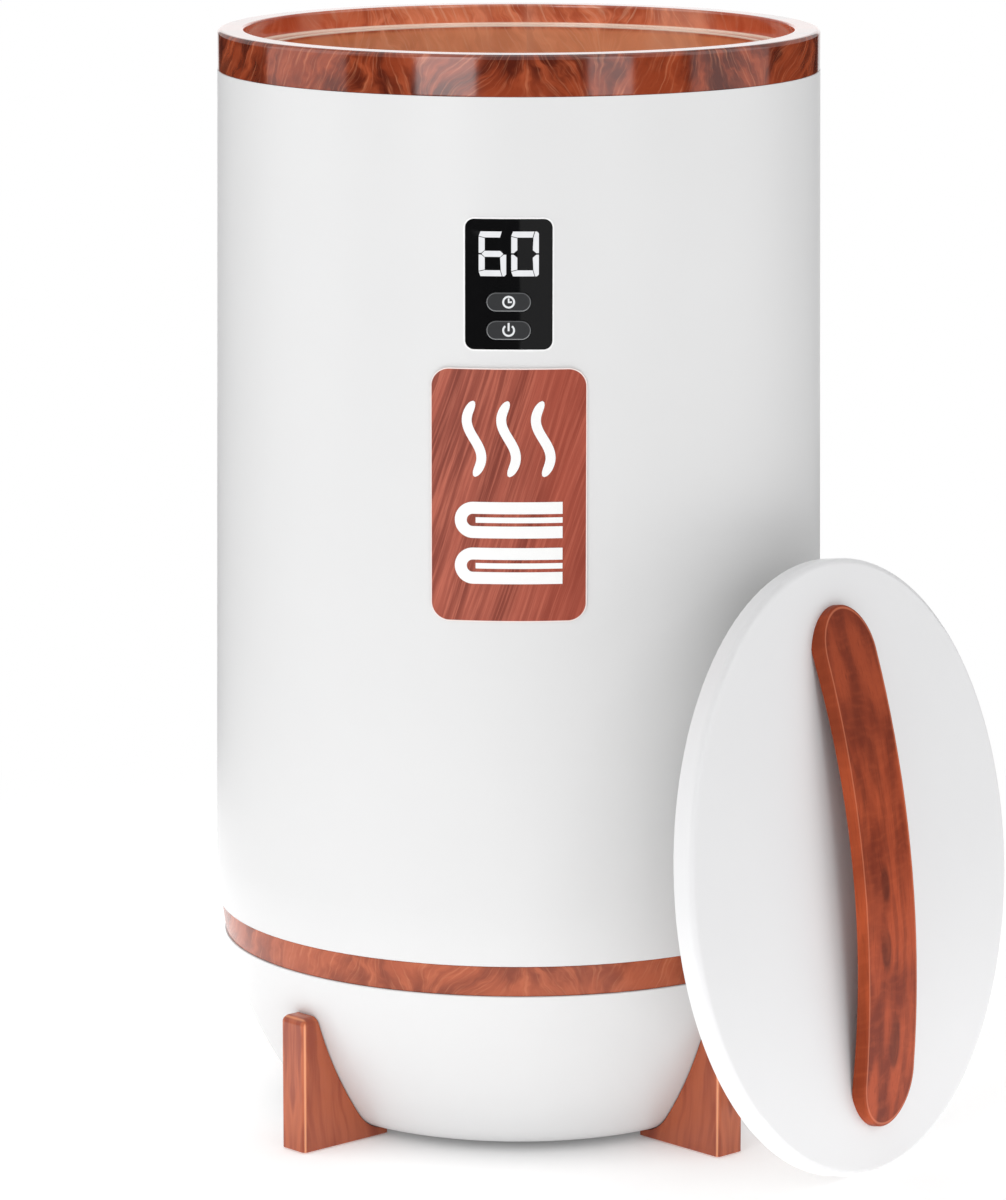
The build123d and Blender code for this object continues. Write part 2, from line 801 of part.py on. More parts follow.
with BuildPart() as deck_plate:
    with BuildSketch(Plane.XY.offset(deck_underside)):
        Circle(deck_radius)
        with Locations((0, lead_radius_from_axis)):
            Rectangle(
                lead_spacing + 2 * (lead_radius + deck_slot_margin), deck_slot, mode=Mode.SUBTRACT
            )
        with Locations((0, -cable_y)):
            Rectangle(cable_width + 2 * deck_slot_margin, deck_slot, mode=Mode.SUBTRACT)
    extrude(amount=deck_thickness)
    for seat in deck_screw_seats:
        with BuildSketch(seat):
            Circle(screw_head_radius + fit_gap)
        extrude(amount=-deck_thickness, mode=Mode.SUBTRACT)
    drill(deck_screw_seats, screw_radius + screw_play, deck_thickness)
    stand(standoff_seats, standoff_radius, board_drop + deck_thickness / 2)
    drill(board_screw_seats, small_screw_radius + inlay_gap, board_thickness + small_screw_length)
deck_plate.part.label = "deck_plate"
export_step(deck_plate.part, "parts/deck_plate.step")
deck_screws = screw_set(deck_screw_seats, screw_radius, screw_length, screw_head_radius, screw_head_height)
deck_screws.part.label = "deck_screws"
export_step(deck_screws.part, "parts/deck_screws.step")


# Power board and what stands on it, on the side that faces the floor
power_board_underside = power_board_top - board_thickness
with BuildPart() as power_board:
    with BuildSketch(Plane.XY.offset(power_board_underside)):
        Rectangle(board_length, board_width)
    extrude(amount=board_thickness)
    drill(board_screw_seats, small_screw_radius + screw_play, board_thickness)
power_board.part.label = "power_board"
export_step(power_board.part, "parts/power_board.step")
power_board_screws = screw_set(
    board_screw_seats,
    small_screw_radius,
    board_thickness + small_screw_length,
    small_screw_head_radius,
    small_screw_head_height,
)
power_board_screws.part.label = "power_board_screws"
export_step(power_board_screws.part, "parts/power_board_screws.step")

# Each block on the board: centre along the board, centre across it, length, width, height
board_blocks = {
    "power_transformer": (-24.0, -8.0, 28.0, 26.0, 22.0),
    "power_relay": (8.0, -12.0, 16.0, 20.0, 16.0),
    "terminal_block": (0.0, 24.0, 34.0, 11.0, 13.0),
    "cable_socket": (0.0, -27.0, 14.0, 7.0, 6.0),
}
for block_name, (block_x, block_y, block_length, block_width, block_height) in board_blocks.items():
    with BuildPart() as block:
        with BuildSketch(Plane.XY.offset(power_board_underside)):
            with Locations((block_x, block_y)):
                Rectangle(block_length, block_width)
        extrude(amount=-block_height)
        fillet(block.edges().filter_by(Axis.Z), edge_break)
    block.part.label = block_name
    export_step(block.part, f"parts/{block_name}.step")
_, terminal_y, _, terminal_width, terminal_height = board_blocks["terminal_block"]
terminal_back = terminal_y + terminal_width / 2
terminal_level = power_board_underside - terminal_height / 2
_, socket_y, _, socket_width, socket_height = board_blocks["cable_socket"]
socket_front = socket_y - socket_width / 2
socket_level = power_board_underside - socket_height / 2

with BuildPart() as filter_capacitor:
    with BuildSketch(Plane.XY.offset(power_board_underside)):
        with Locations((capacitor_x, 0)):
            Circle(capacitor_radius)
    extrude(amount=-capacitor_height)
    fillet(filter_capacitor.faces().sort_by(Axis.Z)[0].edges(), capacitor_round)
filter_capacitor.part.label = "filter_capacitor"
export_step(filter_capacitor.part, "parts/filter_capacitor.step")


# Leads from the heating film down to the terminal block
with BuildPart() as heater_leads:
    for lead_x in (-lead_spacing / 2, lead_spacing / 2):
        with BuildLine():
            FilletPolyline(
                (lead_x, lead_radius_from_axis, heater_bottom),
                (lead_x, lead_radius_from_axis, terminal_level),
                (lead_x, terminal_back, terminal_level),
                radius=lead_bend,
            )
        with BuildSketch(facing((lead_x, lead_radius_from_axis, heater_bottom), down)):
            Circle(lead_radius)
        sweep()
heater_leads.part.label = "heater_leads"
export_step(heater_leads.part, "parts/heater_leads.step")


# Control housing and display board
housing_back = panel_face - housing_depth
housing_floor = housing_back + housing_wall
display_board_back = housing_floor + board_standoff
display_board_front = display_board_back + board_thickness
fascia_back = fascia_thickness - fascia_proud  # depth inside the wall's surface
digits_height = panel_height_above_floor + digits_rise
housing_top = panel_height_above_floor + panel_height / 2
housing_bottom = panel_height_above_floor - panel_height / 2
trim_top = housing_top + 2 * frame_rib
trim_bottom = housing_bottom - 2 * frame_rib

display_board_width = panel_width - 2 * (housing_wall + board_margin)
display_board_height = panel_height - 2 * (housing_wall + board_margin)
display_hole_x = display_board_width / 2 - board_hole_inset
display_hole_rows = (
    panel_height_above_floor - display_board_height / 2 + board_hole_inset,
    digits_height - digit_height / 2 - module_margin - board_hole_inset,
)
display_points = [(x, z) for x in (-display_hole_x, display_hole_x) for z in display_hole_rows]
display_screw_seats = [facing((x, -display_board_front, z), (0, 1, 0)) for x, z in display_points]

with BuildPart() as control_housing:
    with BuildSketch(Plane.XZ.offset(housing_back)):
        with Locations((0, panel_height_above_floor)):
            RectangleRounded(panel_width, panel_height, panel_corner)
    extrude(amount=front_reach - housing_back)
    with BuildSketch(Plane.XZ.offset(frame_back)):
        with Locations((0, panel_height_above_floor)):
            RectangleRounded(
                panel_width + 2 * (panel_gap + frame_rib),
                panel_height + 2 * (panel_gap + frame_rib),
                panel_corner + panel_gap + frame_rib,
            )
    extrude(amount=-housing_flange)
    # Trim the front to the curve behind the fascia
    with BuildSketch(Plane.XZ):
        with BuildLine():
            Polyline(
                (0, trim_bottom),
                (surface_radius(trim_bottom, fascia_back + fit_gap), trim_bottom),
                (surface_radius(trim_top, fascia_back + fit_gap), trim_top),
                (0, trim_top),
                close=True,
            )
        make_face()
    revolve(axis=Axis.Z, mode=Mode.INTERSECT)
    # Hollow it from the front
    with BuildSketch(Plane.XZ.offset(front_reach)):
        with Locations((0, panel_height_above_floor)):
            RectangleRounded(
                panel_width - 2 * housing_wall, panel_height - 2 * housing_wall, panel_corner - housing_wall
            )
    extrude(amount=housing_floor - front_reach, mode=Mode.SUBTRACT)
    # Standoffs for the display board, and the slot that its cable comes up through
    with BuildSketch(Plane.XZ.offset(housing_back)):
        with Locations(*display_points):
            Circle(housing_post_radius)
    extrude(amount=housing_wall + board_standoff)
    with BuildSketch(Plane.XY.offset(trim_bottom)):
        with Locations((0, -cable_y)):
            Rectangle(cable_width + 2 * cable_slot_play, cable_thickness + 2 * cable_slot_play)
    extrude(amount=4 * frame_rib, mode=Mode.SUBTRACT)
    drill(housing_seats, small_screw_radius + screw_play, housing_flange)
    display_screw_depth = board_thickness + board_standoff + housing_wall
    drill(display_screw_seats, small_screw_radius + inlay_gap, display_screw_depth)
control_housing.part.label = "control_housing"
export_step(control_housing.part, "parts/control_housing.step")
housing_screws = screw_set(
    housing_seats,
    small_screw_radius,
    housing_flange + small_screw_length - edge_break,
    small_screw_head_radius,
    small_screw_head_height,
)
housing_screws.part.label = "housing_screws"
export_step(housing_screws.part, "parts/housing_screws.step")

with BuildPart() as display_board:
    with BuildSketch(Plane.XZ.offset(display_board_back)):
        with Locations((0, panel_height_above_floor)):
            RectangleRounded(
                display_board_width, display_board_height, panel_corner - housing_wall - board_margin
            )
    extrude(amount=board_thickness)
    drill(display_screw_seats, small_screw_radius + screw_play, board_thickness)
display_board.part.label = "display_board"
export_step(display_board.part, "parts/display_board.step")
display_board_screws = screw_set(
    display_screw_seats,
    small_screw_radius,
    display_screw_depth - edge_break,
    small_screw_head_radius,
    small_screw_head_height,
)
display_board_screws.part.label = "display_board_screws"
export_step(display_board_screws.part, "parts/display_board_screws.step")


# Fascia, with its windows and key holes, and what shows in them
key_levels = {
    "timer": panel_height_above_floor - timer_fall,
    "power": panel_height_above_floor - power_fall,
}
plaque_top = panel_height_above_floor - panel_height / 2 - plaque_gap
digit_starts = (-digit_width - digit_gap / 2, digit_gap / 2)


def segment_outlines():
    """The seven segments of one digit, from its lower left corner, each as a list of points."""
    w, h, s, g = digit_width, digit_height, digit_stroke, segment_gap
    middle = h / 2
    corner = segment_corner * s
    mitre = segment_mitre * s
    point = segment_point * s
    top = [(0, h - mitre), (corner, h), (w - mitre, h), (w - mitre - corner, h - s), (s, h - s)]
    upper_left = [
        (0, h - mitre - g),
        (s, h - s - g),
        (s, middle + s / 2 + g),
        (point, middle + g),
        (0, middle + g),
    ]
    upper_right = [
        (w - mitre + g, h),
        (w - corner, h),
        (w, h - corner),
        (w, middle + g),
        (w - point, middle + g),
        (w - s, middle + s / 2 + g),
        (w - mitre - corner + g, h - s),
    ]
    centre = [
        (s / 2, middle),
        (s, middle + s / 2),
        (w - s, middle + s / 2),
        (w - s / 2, middle),
        (w - s, middle - s / 2),
        (s, middle - s / 2),
    ]
    lower_left, lower_right, bottom = (
        [(x, h - y) for x, y in outline] for outline in (upper_left, upper_right, top)
    )
    return {
        "top": top,
        "upper_left": upper_left,
        "upper_right": upper_right,
        "centre": centre,
        "lower_left": lower_left,
        "lower_right": lower_right,
        "bottom": bottom,
    }


unlit = ("upper_right", "centre")  # of the first digit, a six, and of the second, a zero
lit_outlines = []
for start, dark in zip(digit_starts, unlit):
    for segment_name, outline in segment_outlines().items():
        if segment_name != dark:
            lit_outlines.append([(start + x, digits_height - digit_height / 2 + y) for x, y in outline])


def wall_skin(outer_depth, inner_depth):
    """Draw the section of a skin between two depths in the straight wall, past the front pieces."""
    low = plaque_top - plaque_height - reach_past
    high = shell_top
    Polyline(
        (surface_radius(low, outer_depth), low),
        (surface_radius(high, outer_depth), high),
        (surface_radius(high, inner_depth), high),
        (surface_radius(low, inner_depth), low),
        close=True,
    )


with BuildPart() as fascia_skin:
    with BuildSketch(Plane.XZ):
        with BuildLine():
            wall_skin(-fascia_proud, fascia_back)
        make_face()
    revolve(axis=Axis.Z)

windows = []
for outline in lit_outlines:
    with BuildPart() as window:
        with BuildSketch(Plane.XZ.offset(housing_back)):
            with BuildLine():
                Polyline(*outline, close=True)
            make_face()
        extrude(amount=front_reach - housing_back)
        add(fascia_skin.part, mode=Mode.INTERSECT)
    windows.append(window.part)
with BuildPart() as digit_windows:
    add(windows)
digit_windows.part.label = "digit_windows"
export_step(digit_windows.part, "parts/digit_windows.step")

with BuildSketch(Plane.XZ.offset(front_reach)) as window_holes:
    for outline in lit_outlines:
        with BuildLine():
            Polyline(*outline, close=True)
        make_face()
    offset(amount=inlay_gap, kind=Kind.INTERSECTION)

with BuildPart() as control_fascia:
    add(fascia_skin.part)
    with BuildSketch(Plane.XZ.offset(front_reach)):
        with Locations((0, panel_height_above_floor)):
            RectangleRounded(panel_width, panel_height, panel_corner)
    extrude(amount=housing_back - front_reach, mode=Mode.INTERSECT)
    extrude(window_holes.sketch, amount=housing_back - front_reach, mode=Mode.SUBTRACT)
    with BuildSketch(Plane.XZ.offset(front_reach)):
        with Locations(*[(0, level) for level in key_levels.values()]):
            SlotOverall(key_width + 2 * key_gap, key_height + 2 * key_gap)
    extrude(amount=housing_back - front_reach, mode=Mode.SUBTRACT)
control_fascia.part.label = "control_fascia"
export_step(control_fascia.part, "parts/control_fascia.step")


# Display module, switches and keys
module_width = 2 * digit_width + digit_gap + 2 * module_margin
with BuildPart() as display_module:
    with BuildSketch(Plane.XZ.offset(display_board_front)):
        with Locations((0, digits_height)):
            Rectangle(module_width, digit_height + 2 * module_margin)
    extrude(amount=module_thickness)
display_module.part.label = "display_module"
export_step(display_module.part, "parts/display_module.step")

switch_top = display_board_front + switch_height
stem_end = switch_top + key_travel + fit_gap
with BuildPart() as key_switches:
    with BuildSketch(Plane.XZ.offset(display_board_front)):
        with Locations(*[(0, level) for level in key_levels.values()]):
            Rectangle(switch_width, switch_width)
    extrude(amount=switch_height)
    with BuildSketch(Plane.XZ.offset(switch_top)):
        with Locations(*[(0, level) for level in key_levels.values()]):
            Circle(plunger_radius + inlay_gap)
    extrude(amount=-(plunger_seat + key_travel + fit_gap), mode=Mode.SUBTRACT)
key_switches.part.label = "key_switches"
export_step(key_switches.part, "parts/key_switches.step")


def make_key(level):
    """A key cap with the lip that keeps it behind the fascia, and the stem behind it."""
    face = surface_radius(level) + fascia_proud + key_proud
    lip_width = key_width + 2 * key_lip
    back_radius = surface_radius(level, fascia_back)
    lip_front = sqrt(back_radius**2 - (lip_width / 2) ** 2) - fit_gap
    with BuildPart() as key:
        with BuildSketch(Plane.XZ.offset(lip_front)):
            with Locations((0, level)):
                SlotOverall(key_width, key_height)
        extrude(amount=face - lip_front)
        fillet(key.faces().sort_by(Axis.Y)[0].edges(), key_round)
        with BuildSketch(Plane.XZ.offset(lip_front - key_flange)):
            with Locations((0, level)):
                SlotOverall(lip_width, key_height + 2 * key_lip)
        extrude(amount=key_flange)
        with BuildSketch(Plane.XZ.offset(stem_end)):
            with Locations((0, level)):
                Circle(key_stem_radius)
        extrude(amount=lip_front - stem_end)
    return key


def make_plunger(level):
    """The switch's own plunger, which the key's stem rests on."""
    with BuildPart() as plunger:
        with BuildSketch(Plane.XZ.offset(stem_end)):
            with Locations((0, level)):
                Circle(plunger_radius)
        extrude(amount=-(stem_end - switch_top + plunger_seat))
    return plunger


for key_name, key_level in key_levels.items():
    key = make_key(key_level)
    key.part.label = f"{key_name}_button"
    export_step(key.part, f"parts/{key_name}_button.step")
    plunger = make_plunger(key_level)
    plunger.part.label = f"{key_name}_plunger"
    export_step(plunger.part, f"parts/{key_name}_plunger.step")


# Flat cable from the display board down the inside of the wall to the power board
with BuildPart() as display_cable:
    with BuildSketch(Plane.YZ):
        with BuildLine() as cable_path:
            FilletPolyline(
                (-cable_y, housing_bottom + housing_wall + board_margin),
                (-cable_y, socket_level),
                (socket_front, socket_level),
                radius=cable_bend,
            )
        trace(cable_path.line, line_width=cable_thickness)
    extrude(amount=cable_width / 2, both=True)
display_cable.part.label = "display_cable"
export_step(display_cable.part, "parts/display_cable.step")


# Front plaque
with BuildPart() as front_plaque:
    with BuildSketch(Plane.XZ):
        with BuildLine():
            wall_skin(-glue_gap - plaque_thickness, -glue_gap)
        make_face()
    revolve(axis=Axis.Z)
    with BuildSketch(Plane.XZ.offset(front_reach)):
        with Locations((0, plaque_top - plaque_height / 2)):
            RectangleRounded(plaque_width, plaque_height, plaque_corner)
    extrude(amount=housing_back - front_reach, mode=Mode.INTERSECT)
front_plaque.part.label = "front_plaque"
export_step(front_plaque.part, "parts/front_plaque.step")


# Cord gland and its nut
gland_plane = Plane(origin=(0, gland_seat, gland_height), z_dir=(0, 1, 0))
gland_end = gland_seat - gland_inner_seat + gland_nut_height + gland_tail
with BuildPart() as cord_gland:
    with BuildSketch(gland_plane):
        Circle(gland_flange_radius)
    extrude(amount=gland_flange)
    fillet(cord_gland.faces().sort_by(Axis.Y)[-1].edges(), gland_round)
    with BuildSketch(gland_plane):
        Circle(gland_radius)
    extrude(amount=-gland_end)
    with BuildSketch(gland_plane.offset(gland_flange)):
        Circle(gland_bore)
    extrude(amount=-gland_grip, mode=Mode.SUBTRACT)
    with BuildSketch(gland_plane.offset(gland_flange - gland_grip)):
        Circle(gland_throat)
    extrude(amount=gland_grip - gland_end - gland_flange, mode=Mode.SUBTRACT)
cord_gland.part.label = "cord_gland"
export_step(cord_gland.part, "parts/cord_gland.step")

with BuildPart() as gland_nut:
    with BuildSketch(Plane(origin=(0, gland_inner_seat, gland_height), z_dir=(0, -1, 0))):
        RegularPolygon(gland_nut_width / 2, 6, major_radius=False)
        Circle(gland_radius + inlay_gap, mode=Mode.SUBTRACT)
    extrude(amount=gland_nut_height)
gland_nut.part.label = "gland_nut"
export_step(gland_nut.part, "parts/gland_nut.step")


# Where the lid leans: its rim stands on the floor and the cap under its plug rests on the wall
lid_radius = ring_radius + lid_overhang
plug_radius = mouth_radius - plug_gap
cap_root_radius = plug_radius - cap_step
cap_radius = cap_root_radius - cap_taper
liner_screw_circle = plug_radius - liner_screw_inset
plug_depth = lid_recess - ledge_gap
lean = radians(lid_tilt)
touch_height = (lid_radius + cap_radius) * cos(lean) - cap_depth * sin(lean)
lid_distance = surface_radius(touch_height) + lean_gap + cap_radius * sin(lean) + cap_depth * cos(lean)
lid_out = upright(lid_azimuth).x_dir
lid_along = Vector(cos(radians(lid_azimuth)), sin(radians(lid_azimuth)), 0)
lid_normal = lid_out * cos(lean) + Vector(0, 0, sin(lean))
lid_uphill = Vector(0, 0, cos(lean)) - lid_out * sin(lean)
lid_centre = (
    lid_out * lid_distance + lid_along * lid_offset + Vector(0, 0, lid_radius * cos(lean) + lean_gap)
)
spin = radians(handle_spin)
handle_axis = lid_uphill * cos(spin) + lid_along * sin(spin)
lid_plane = Plane(origin=lid_centre, x_dir=handle_axis, z_dir=lid_normal)
lid_section = Plane(origin=lid_centre, x_dir=handle_axis, z_dir=-lid_plane.y_dir)
lid_axis = Axis(lid_centre, lid_normal)


def on_lid(x, y, level):
    """A point on the lid, given along its handle, across it and above the rim plane."""
    return lid_plane.from_local_coords((x, y, level))


liner_floor = liner_thickness - plug_depth
cap_floor = liner_thickness - cap_depth
cap_slope = (cap_root_radius - cap_radius) / (cap_depth - plug_depth)
cap_skin = liner_thickness * sqrt(1 + cap_slope**2)  # the liner's thickness, measured level
cover_underside = lid_thickness - lid_wall


def cap_inside(level, gap=0.0):
    """Radius of the cap's tapered inner face at a level, or of the surface a gap inside it."""
    return cap_root_radius + cap_slope * (level + plug_depth) - cap_skin - gap


liner_screw_points = [
    (liner_screw_circle * cos(radians(angle)), liner_screw_circle * sin(radians(angle)))
    for angle in quarter_turns
]
liner_screw_seats = [facing(on_lid(x, y, -plug_depth), lid_normal) for x, y in liner_screw_points]
handle_screw_points = [(side * (handle_length / 2 - handle_screw_inset), 0) for side in (-1, 1)]
handle_screw_seats = [facing(on_lid(x, y, cover_underside), lid_normal) for x, y in handle_screw_points]

with BuildPart() as lid_cover:
    with BuildSketch(lid_section):
        with BuildLine():
            FilletPolyline(
                (0, lid_thickness),
                (lid_radius, lid_thickness),
                (lid_radius, 0),
                (lid_radius - lid_wall, 0),
                (lid_radius - lid_wall, cover_underside),
                (0, cover_underside),
                radius=[lid_edge_round, edge_break, 0, 0],
            )
            Line((0, cover_underside), (0, lid_thickness))
        make_face()
    revolve(axis=lid_axis)
    boss_bottoms = [facing(on_lid(x, y, liner_floor), lid_normal) for x, y in liner_screw_points]
    stand(boss_bottoms, liner_boss_radius, cover_underside - liner_floor + lid_wall / 2)
    drill(boss_bottoms, screw_radius + inlay_gap, screw_length)
    drill(handle_screw_seats, screw_radius + screw_play, lid_wall)
lid_cover.part.label = "lid_cover"
export_step(lid_cover.part, "parts/lid_cover.step")

with BuildPart() as lid_liner:
    with BuildSketch(lid_section):
        with BuildLine():
            Polyline(
                (0, -cap_depth),
                (cap_radius, -cap_depth),
                (cap_root_radius, -plug_depth),
                (plug_radius, -plug_depth),
                (plug_radius, -seal_drop - seal_height),
                (plug_radius - seal_depth, -seal_drop - seal_height),
                (plug_radius - seal_depth, -seal_drop),
                (plug_radius, -seal_drop),
                (plug_radius, 0),
                (lid_radius - lid_wall - fit_gap, 0),
                (lid_radius - lid_wall - fit_gap, liner_thickness),
                (plug_radius - seal_depth - liner_thickness, liner_thickness),
                (plug_radius - seal_depth - liner_thickness, liner_floor),
                (cap_inside(liner_floor), liner_floor),
                (cap_inside(cap_floor), cap_floor),
                (0, cap_floor),
                close=True,
            )
        make_face()
    revolve(axis=lid_axis)
    drill(liner_screw_seats, screw_radius + screw_play, liner_thickness)
lid_liner.part.label = "lid_liner"
export_step(lid_liner.part, "parts/lid_liner.step")
liner_screws = screw_set(liner_screw_seats, screw_radius, screw_length, screw_head_radius, screw_head_height)
liner_screws.part.label = "liner_screws"
export_step(liner_screws.part, "parts/liner_screws.step")

with BuildPart() as lid_seal:
    with BuildSketch(lid_section):
        with BuildLine():
            Polyline(
                (plug_radius - seal_depth + seal_play, -seal_drop - seal_play),
                (plug_radius + seal_lip / 2, -seal_drop - seal_play),
                (plug_radius + seal_lip, -seal_drop - seal_height / 2),
                (plug_radius + seal_lip / 2, -seal_drop - seal_height + seal_play),
                (plug_radius - seal_depth + seal_play, -seal_drop - seal_height + seal_play),
                close=True,
            )
        make_face()
    revolve(axis=lid_axis)
lid_seal.part.label = "lid_seal"
export_step(lid_seal.part, "parts/lid_seal.step")

foam_radius = plug_radius - seal_depth - liner_thickness - fit_gap
foam_step = liner_floor + fit_gap
foam_bottom = cap_floor + fit_gap
foam_top = cover_underside - fit_gap
with BuildPart() as lid_insulation:
    with BuildSketch(lid_section):
        with BuildLine():
            Polyline(
                (0, foam_bottom),
                (cap_inside(foam_bottom, pocket_gap), foam_bottom),
                (cap_inside(foam_step, pocket_gap), foam_step),
                (foam_radius, foam_step),
                (foam_radius, foam_top),
                (0, foam_top),
                close=True,
            )
        make_face()
    revolve(axis=lid_axis)
    foam_seats = [facing(on_lid(x, y, foam_step), lid_normal) for x, y in liner_screw_points]
    drill(foam_seats, liner_boss_radius + pocket_gap, foam_top - foam_step)
    head_seats = [facing(on_lid(x, y, foam_top), -lid_normal) for x, y in handle_screw_points]
    drill(head_seats, screw_head_radius + pocket_gap, screw_head_height + pocket_gap)
lid_insulation.part.label = "lid_insulation"
export_step(lid_insulation.part, "parts/lid_insulation.step")


# Lid handle, an arched strip with round ends
handle_tip = handle_length / 2
handle_root = handle_tip - handle_foot
with BuildPart() as lid_handle:
    with BuildSketch(lid_section):
        with BuildLine():
            Line((-handle_tip, lid_thickness), (-handle_root, lid_thickness))
            ThreePointArc(
                (-handle_root, lid_thickness), (0, lid_thickness + handle_rise), (handle_root, lid_thickness)
            )
            Polyline(
                (handle_root, lid_thickness),
                (handle_tip, lid_thickness),
                (handle_tip, lid_thickness + handle_tip_thickness),
            )
            ThreePointArc(
                (handle_tip, lid_thickness + handle_tip_thickness),
                (0, lid_thickness + handle_rise + handle_thickness),
                (-handle_tip, lid_thickness + handle_tip_thickness),
            )
            Line((-handle_tip, lid_thickness + handle_tip_thickness), (-handle_tip, lid_thickness))
        make_face()
    extrude(amount=handle_width / 2, both=True)
    with BuildSketch(lid_plane.offset(lid_thickness)):
        SlotOverall(handle_length, handle_width)
    extrude(amount=2 * (handle_rise + handle_thickness), mode=Mode.INTERSECT)
    upper_face = lid_handle.faces().filter_by(GeomType.CYLINDER).sort_by(SortBy.AREA)[-1]
    fillet(upper_face.edges(), handle_round)
    drill(handle_screw_seats, screw_radius + inlay_gap, lid_wall + handle_screw_reach)
lid_handle.part.label = "lid_handle"
export_step(lid_handle.part, "parts/lid_handle.step")
handle_screws = screw_set(
    handle_screw_seats,
    screw_radius,
    lid_wall + handle_screw_reach - edge_break,
    screw_head_radius,
    screw_head_height,
)
handle_screws.part.label = "handle_screws"
export_step(handle_screws.part, "parts/handle_screws.step")
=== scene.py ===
"""A bucket towel warmer: its finishes, its small printed and trim pieces, and a plain studio round it.

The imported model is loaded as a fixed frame. Lengths are in metres, the origin is on the body's axis at
floor level, +Z is up and the front faces -Y.
"""

import json
from math import cos, pi, radians, sin, sqrt, tan
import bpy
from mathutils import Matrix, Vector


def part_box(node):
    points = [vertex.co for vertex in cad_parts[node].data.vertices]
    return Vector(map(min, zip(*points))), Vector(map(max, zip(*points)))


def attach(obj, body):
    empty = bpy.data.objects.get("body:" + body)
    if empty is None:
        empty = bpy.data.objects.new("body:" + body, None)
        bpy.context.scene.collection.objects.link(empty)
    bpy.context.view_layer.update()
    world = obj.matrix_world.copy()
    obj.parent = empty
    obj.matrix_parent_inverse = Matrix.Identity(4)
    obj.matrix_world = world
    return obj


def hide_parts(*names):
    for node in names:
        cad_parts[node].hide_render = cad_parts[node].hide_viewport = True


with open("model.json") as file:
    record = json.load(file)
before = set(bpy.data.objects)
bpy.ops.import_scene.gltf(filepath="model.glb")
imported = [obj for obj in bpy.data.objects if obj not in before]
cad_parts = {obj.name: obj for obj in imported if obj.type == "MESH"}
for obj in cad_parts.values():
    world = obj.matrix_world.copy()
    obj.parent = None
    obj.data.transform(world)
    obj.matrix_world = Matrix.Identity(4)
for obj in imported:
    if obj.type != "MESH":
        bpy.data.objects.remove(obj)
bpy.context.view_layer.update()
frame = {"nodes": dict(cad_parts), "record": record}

import bmesh
import bpy
from bpy.props import FloatProperty, FloatVectorProperty, IntProperty
from mathutils import Vector

bl_info = {
    "name": "Bucket Towel Warmer",
    "version": (1, 0, 0),
    "blender": (4, 5, 0),
    "location": "3D View > Sidebar > Warmer",
    "description": "Finishes, trim and studio for a bucket towel warmer",
    "category": "Object",
}

mm = 0.001
fascia_low, fascia_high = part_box("control_fascia")
plaque_low, plaque_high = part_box("front_plaque")
ring_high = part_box("top_trim_ring")[1]
wall_top_radius = 145.2 * mm
wall_top_level = 512.4 * mm
wall_draft = tan(radians(0.55))
fascia_corner = 4.1 * mm
plaque_stand_off = 0.95 * mm
lid_centre = Vector((155.041, -113.109, 144.984)) * mm
lid_out = Vector((0.8468, -0.5148, 0.1340)).normalized()
handle_along = Vector((-0.0981, 0.0964, 0.9905)).normalized()
handle_across = lid_out.cross(handle_along).normalized()


def wall_radius(level):
    """Radius of the straight wall at a level."""
    return wall_top_radius + (wall_top_level - level) * wall_draft


def tint(red, green, blue):
    """A colour written as screen values from 0 to 255, as the linear colour that shaders take."""
    shares = [value / 255 for value in (red, green, blue)]
    return tuple(s / 12.92 if s <= 0.04045 else ((s + 0.055) / 1.055) ** 2.4 for s in shares) + (1.0,)


def dimmed(colour, share):
    """A colour with only a share of its light."""
    return tuple(part * share for part in colour[:3]) + (1.0,)


# Node writing


class Wire:
    """An output of a node. Maths written with it adds Math nodes."""

    def __init__(self, writer, socket):
        self.writer = writer
        self.socket = socket

    def __add__(self, other):
        return self.writer.maths("ADD", self, other)

    def __radd__(self, other):
        return self.writer.maths("ADD", other, self)

    def __sub__(self, other):
        return self.writer.maths("SUBTRACT", self, other)

    def __rsub__(self, other):
        return self.writer.maths("SUBTRACT", other, self)

    def __mul__(self, other):
        return self.writer.maths("MULTIPLY", self, other)

    def __rmul__(self, other):
        return self.writer.maths("MULTIPLY", other, self)

    def __truediv__(self, other):
        return self.writer.maths("DIVIDE", self, other)

    def __rtruediv__(self, other):
        return self.writer.maths("DIVIDE", other, self)

    def __abs__(self):
        return self.writer.maths("ABSOLUTE", self)


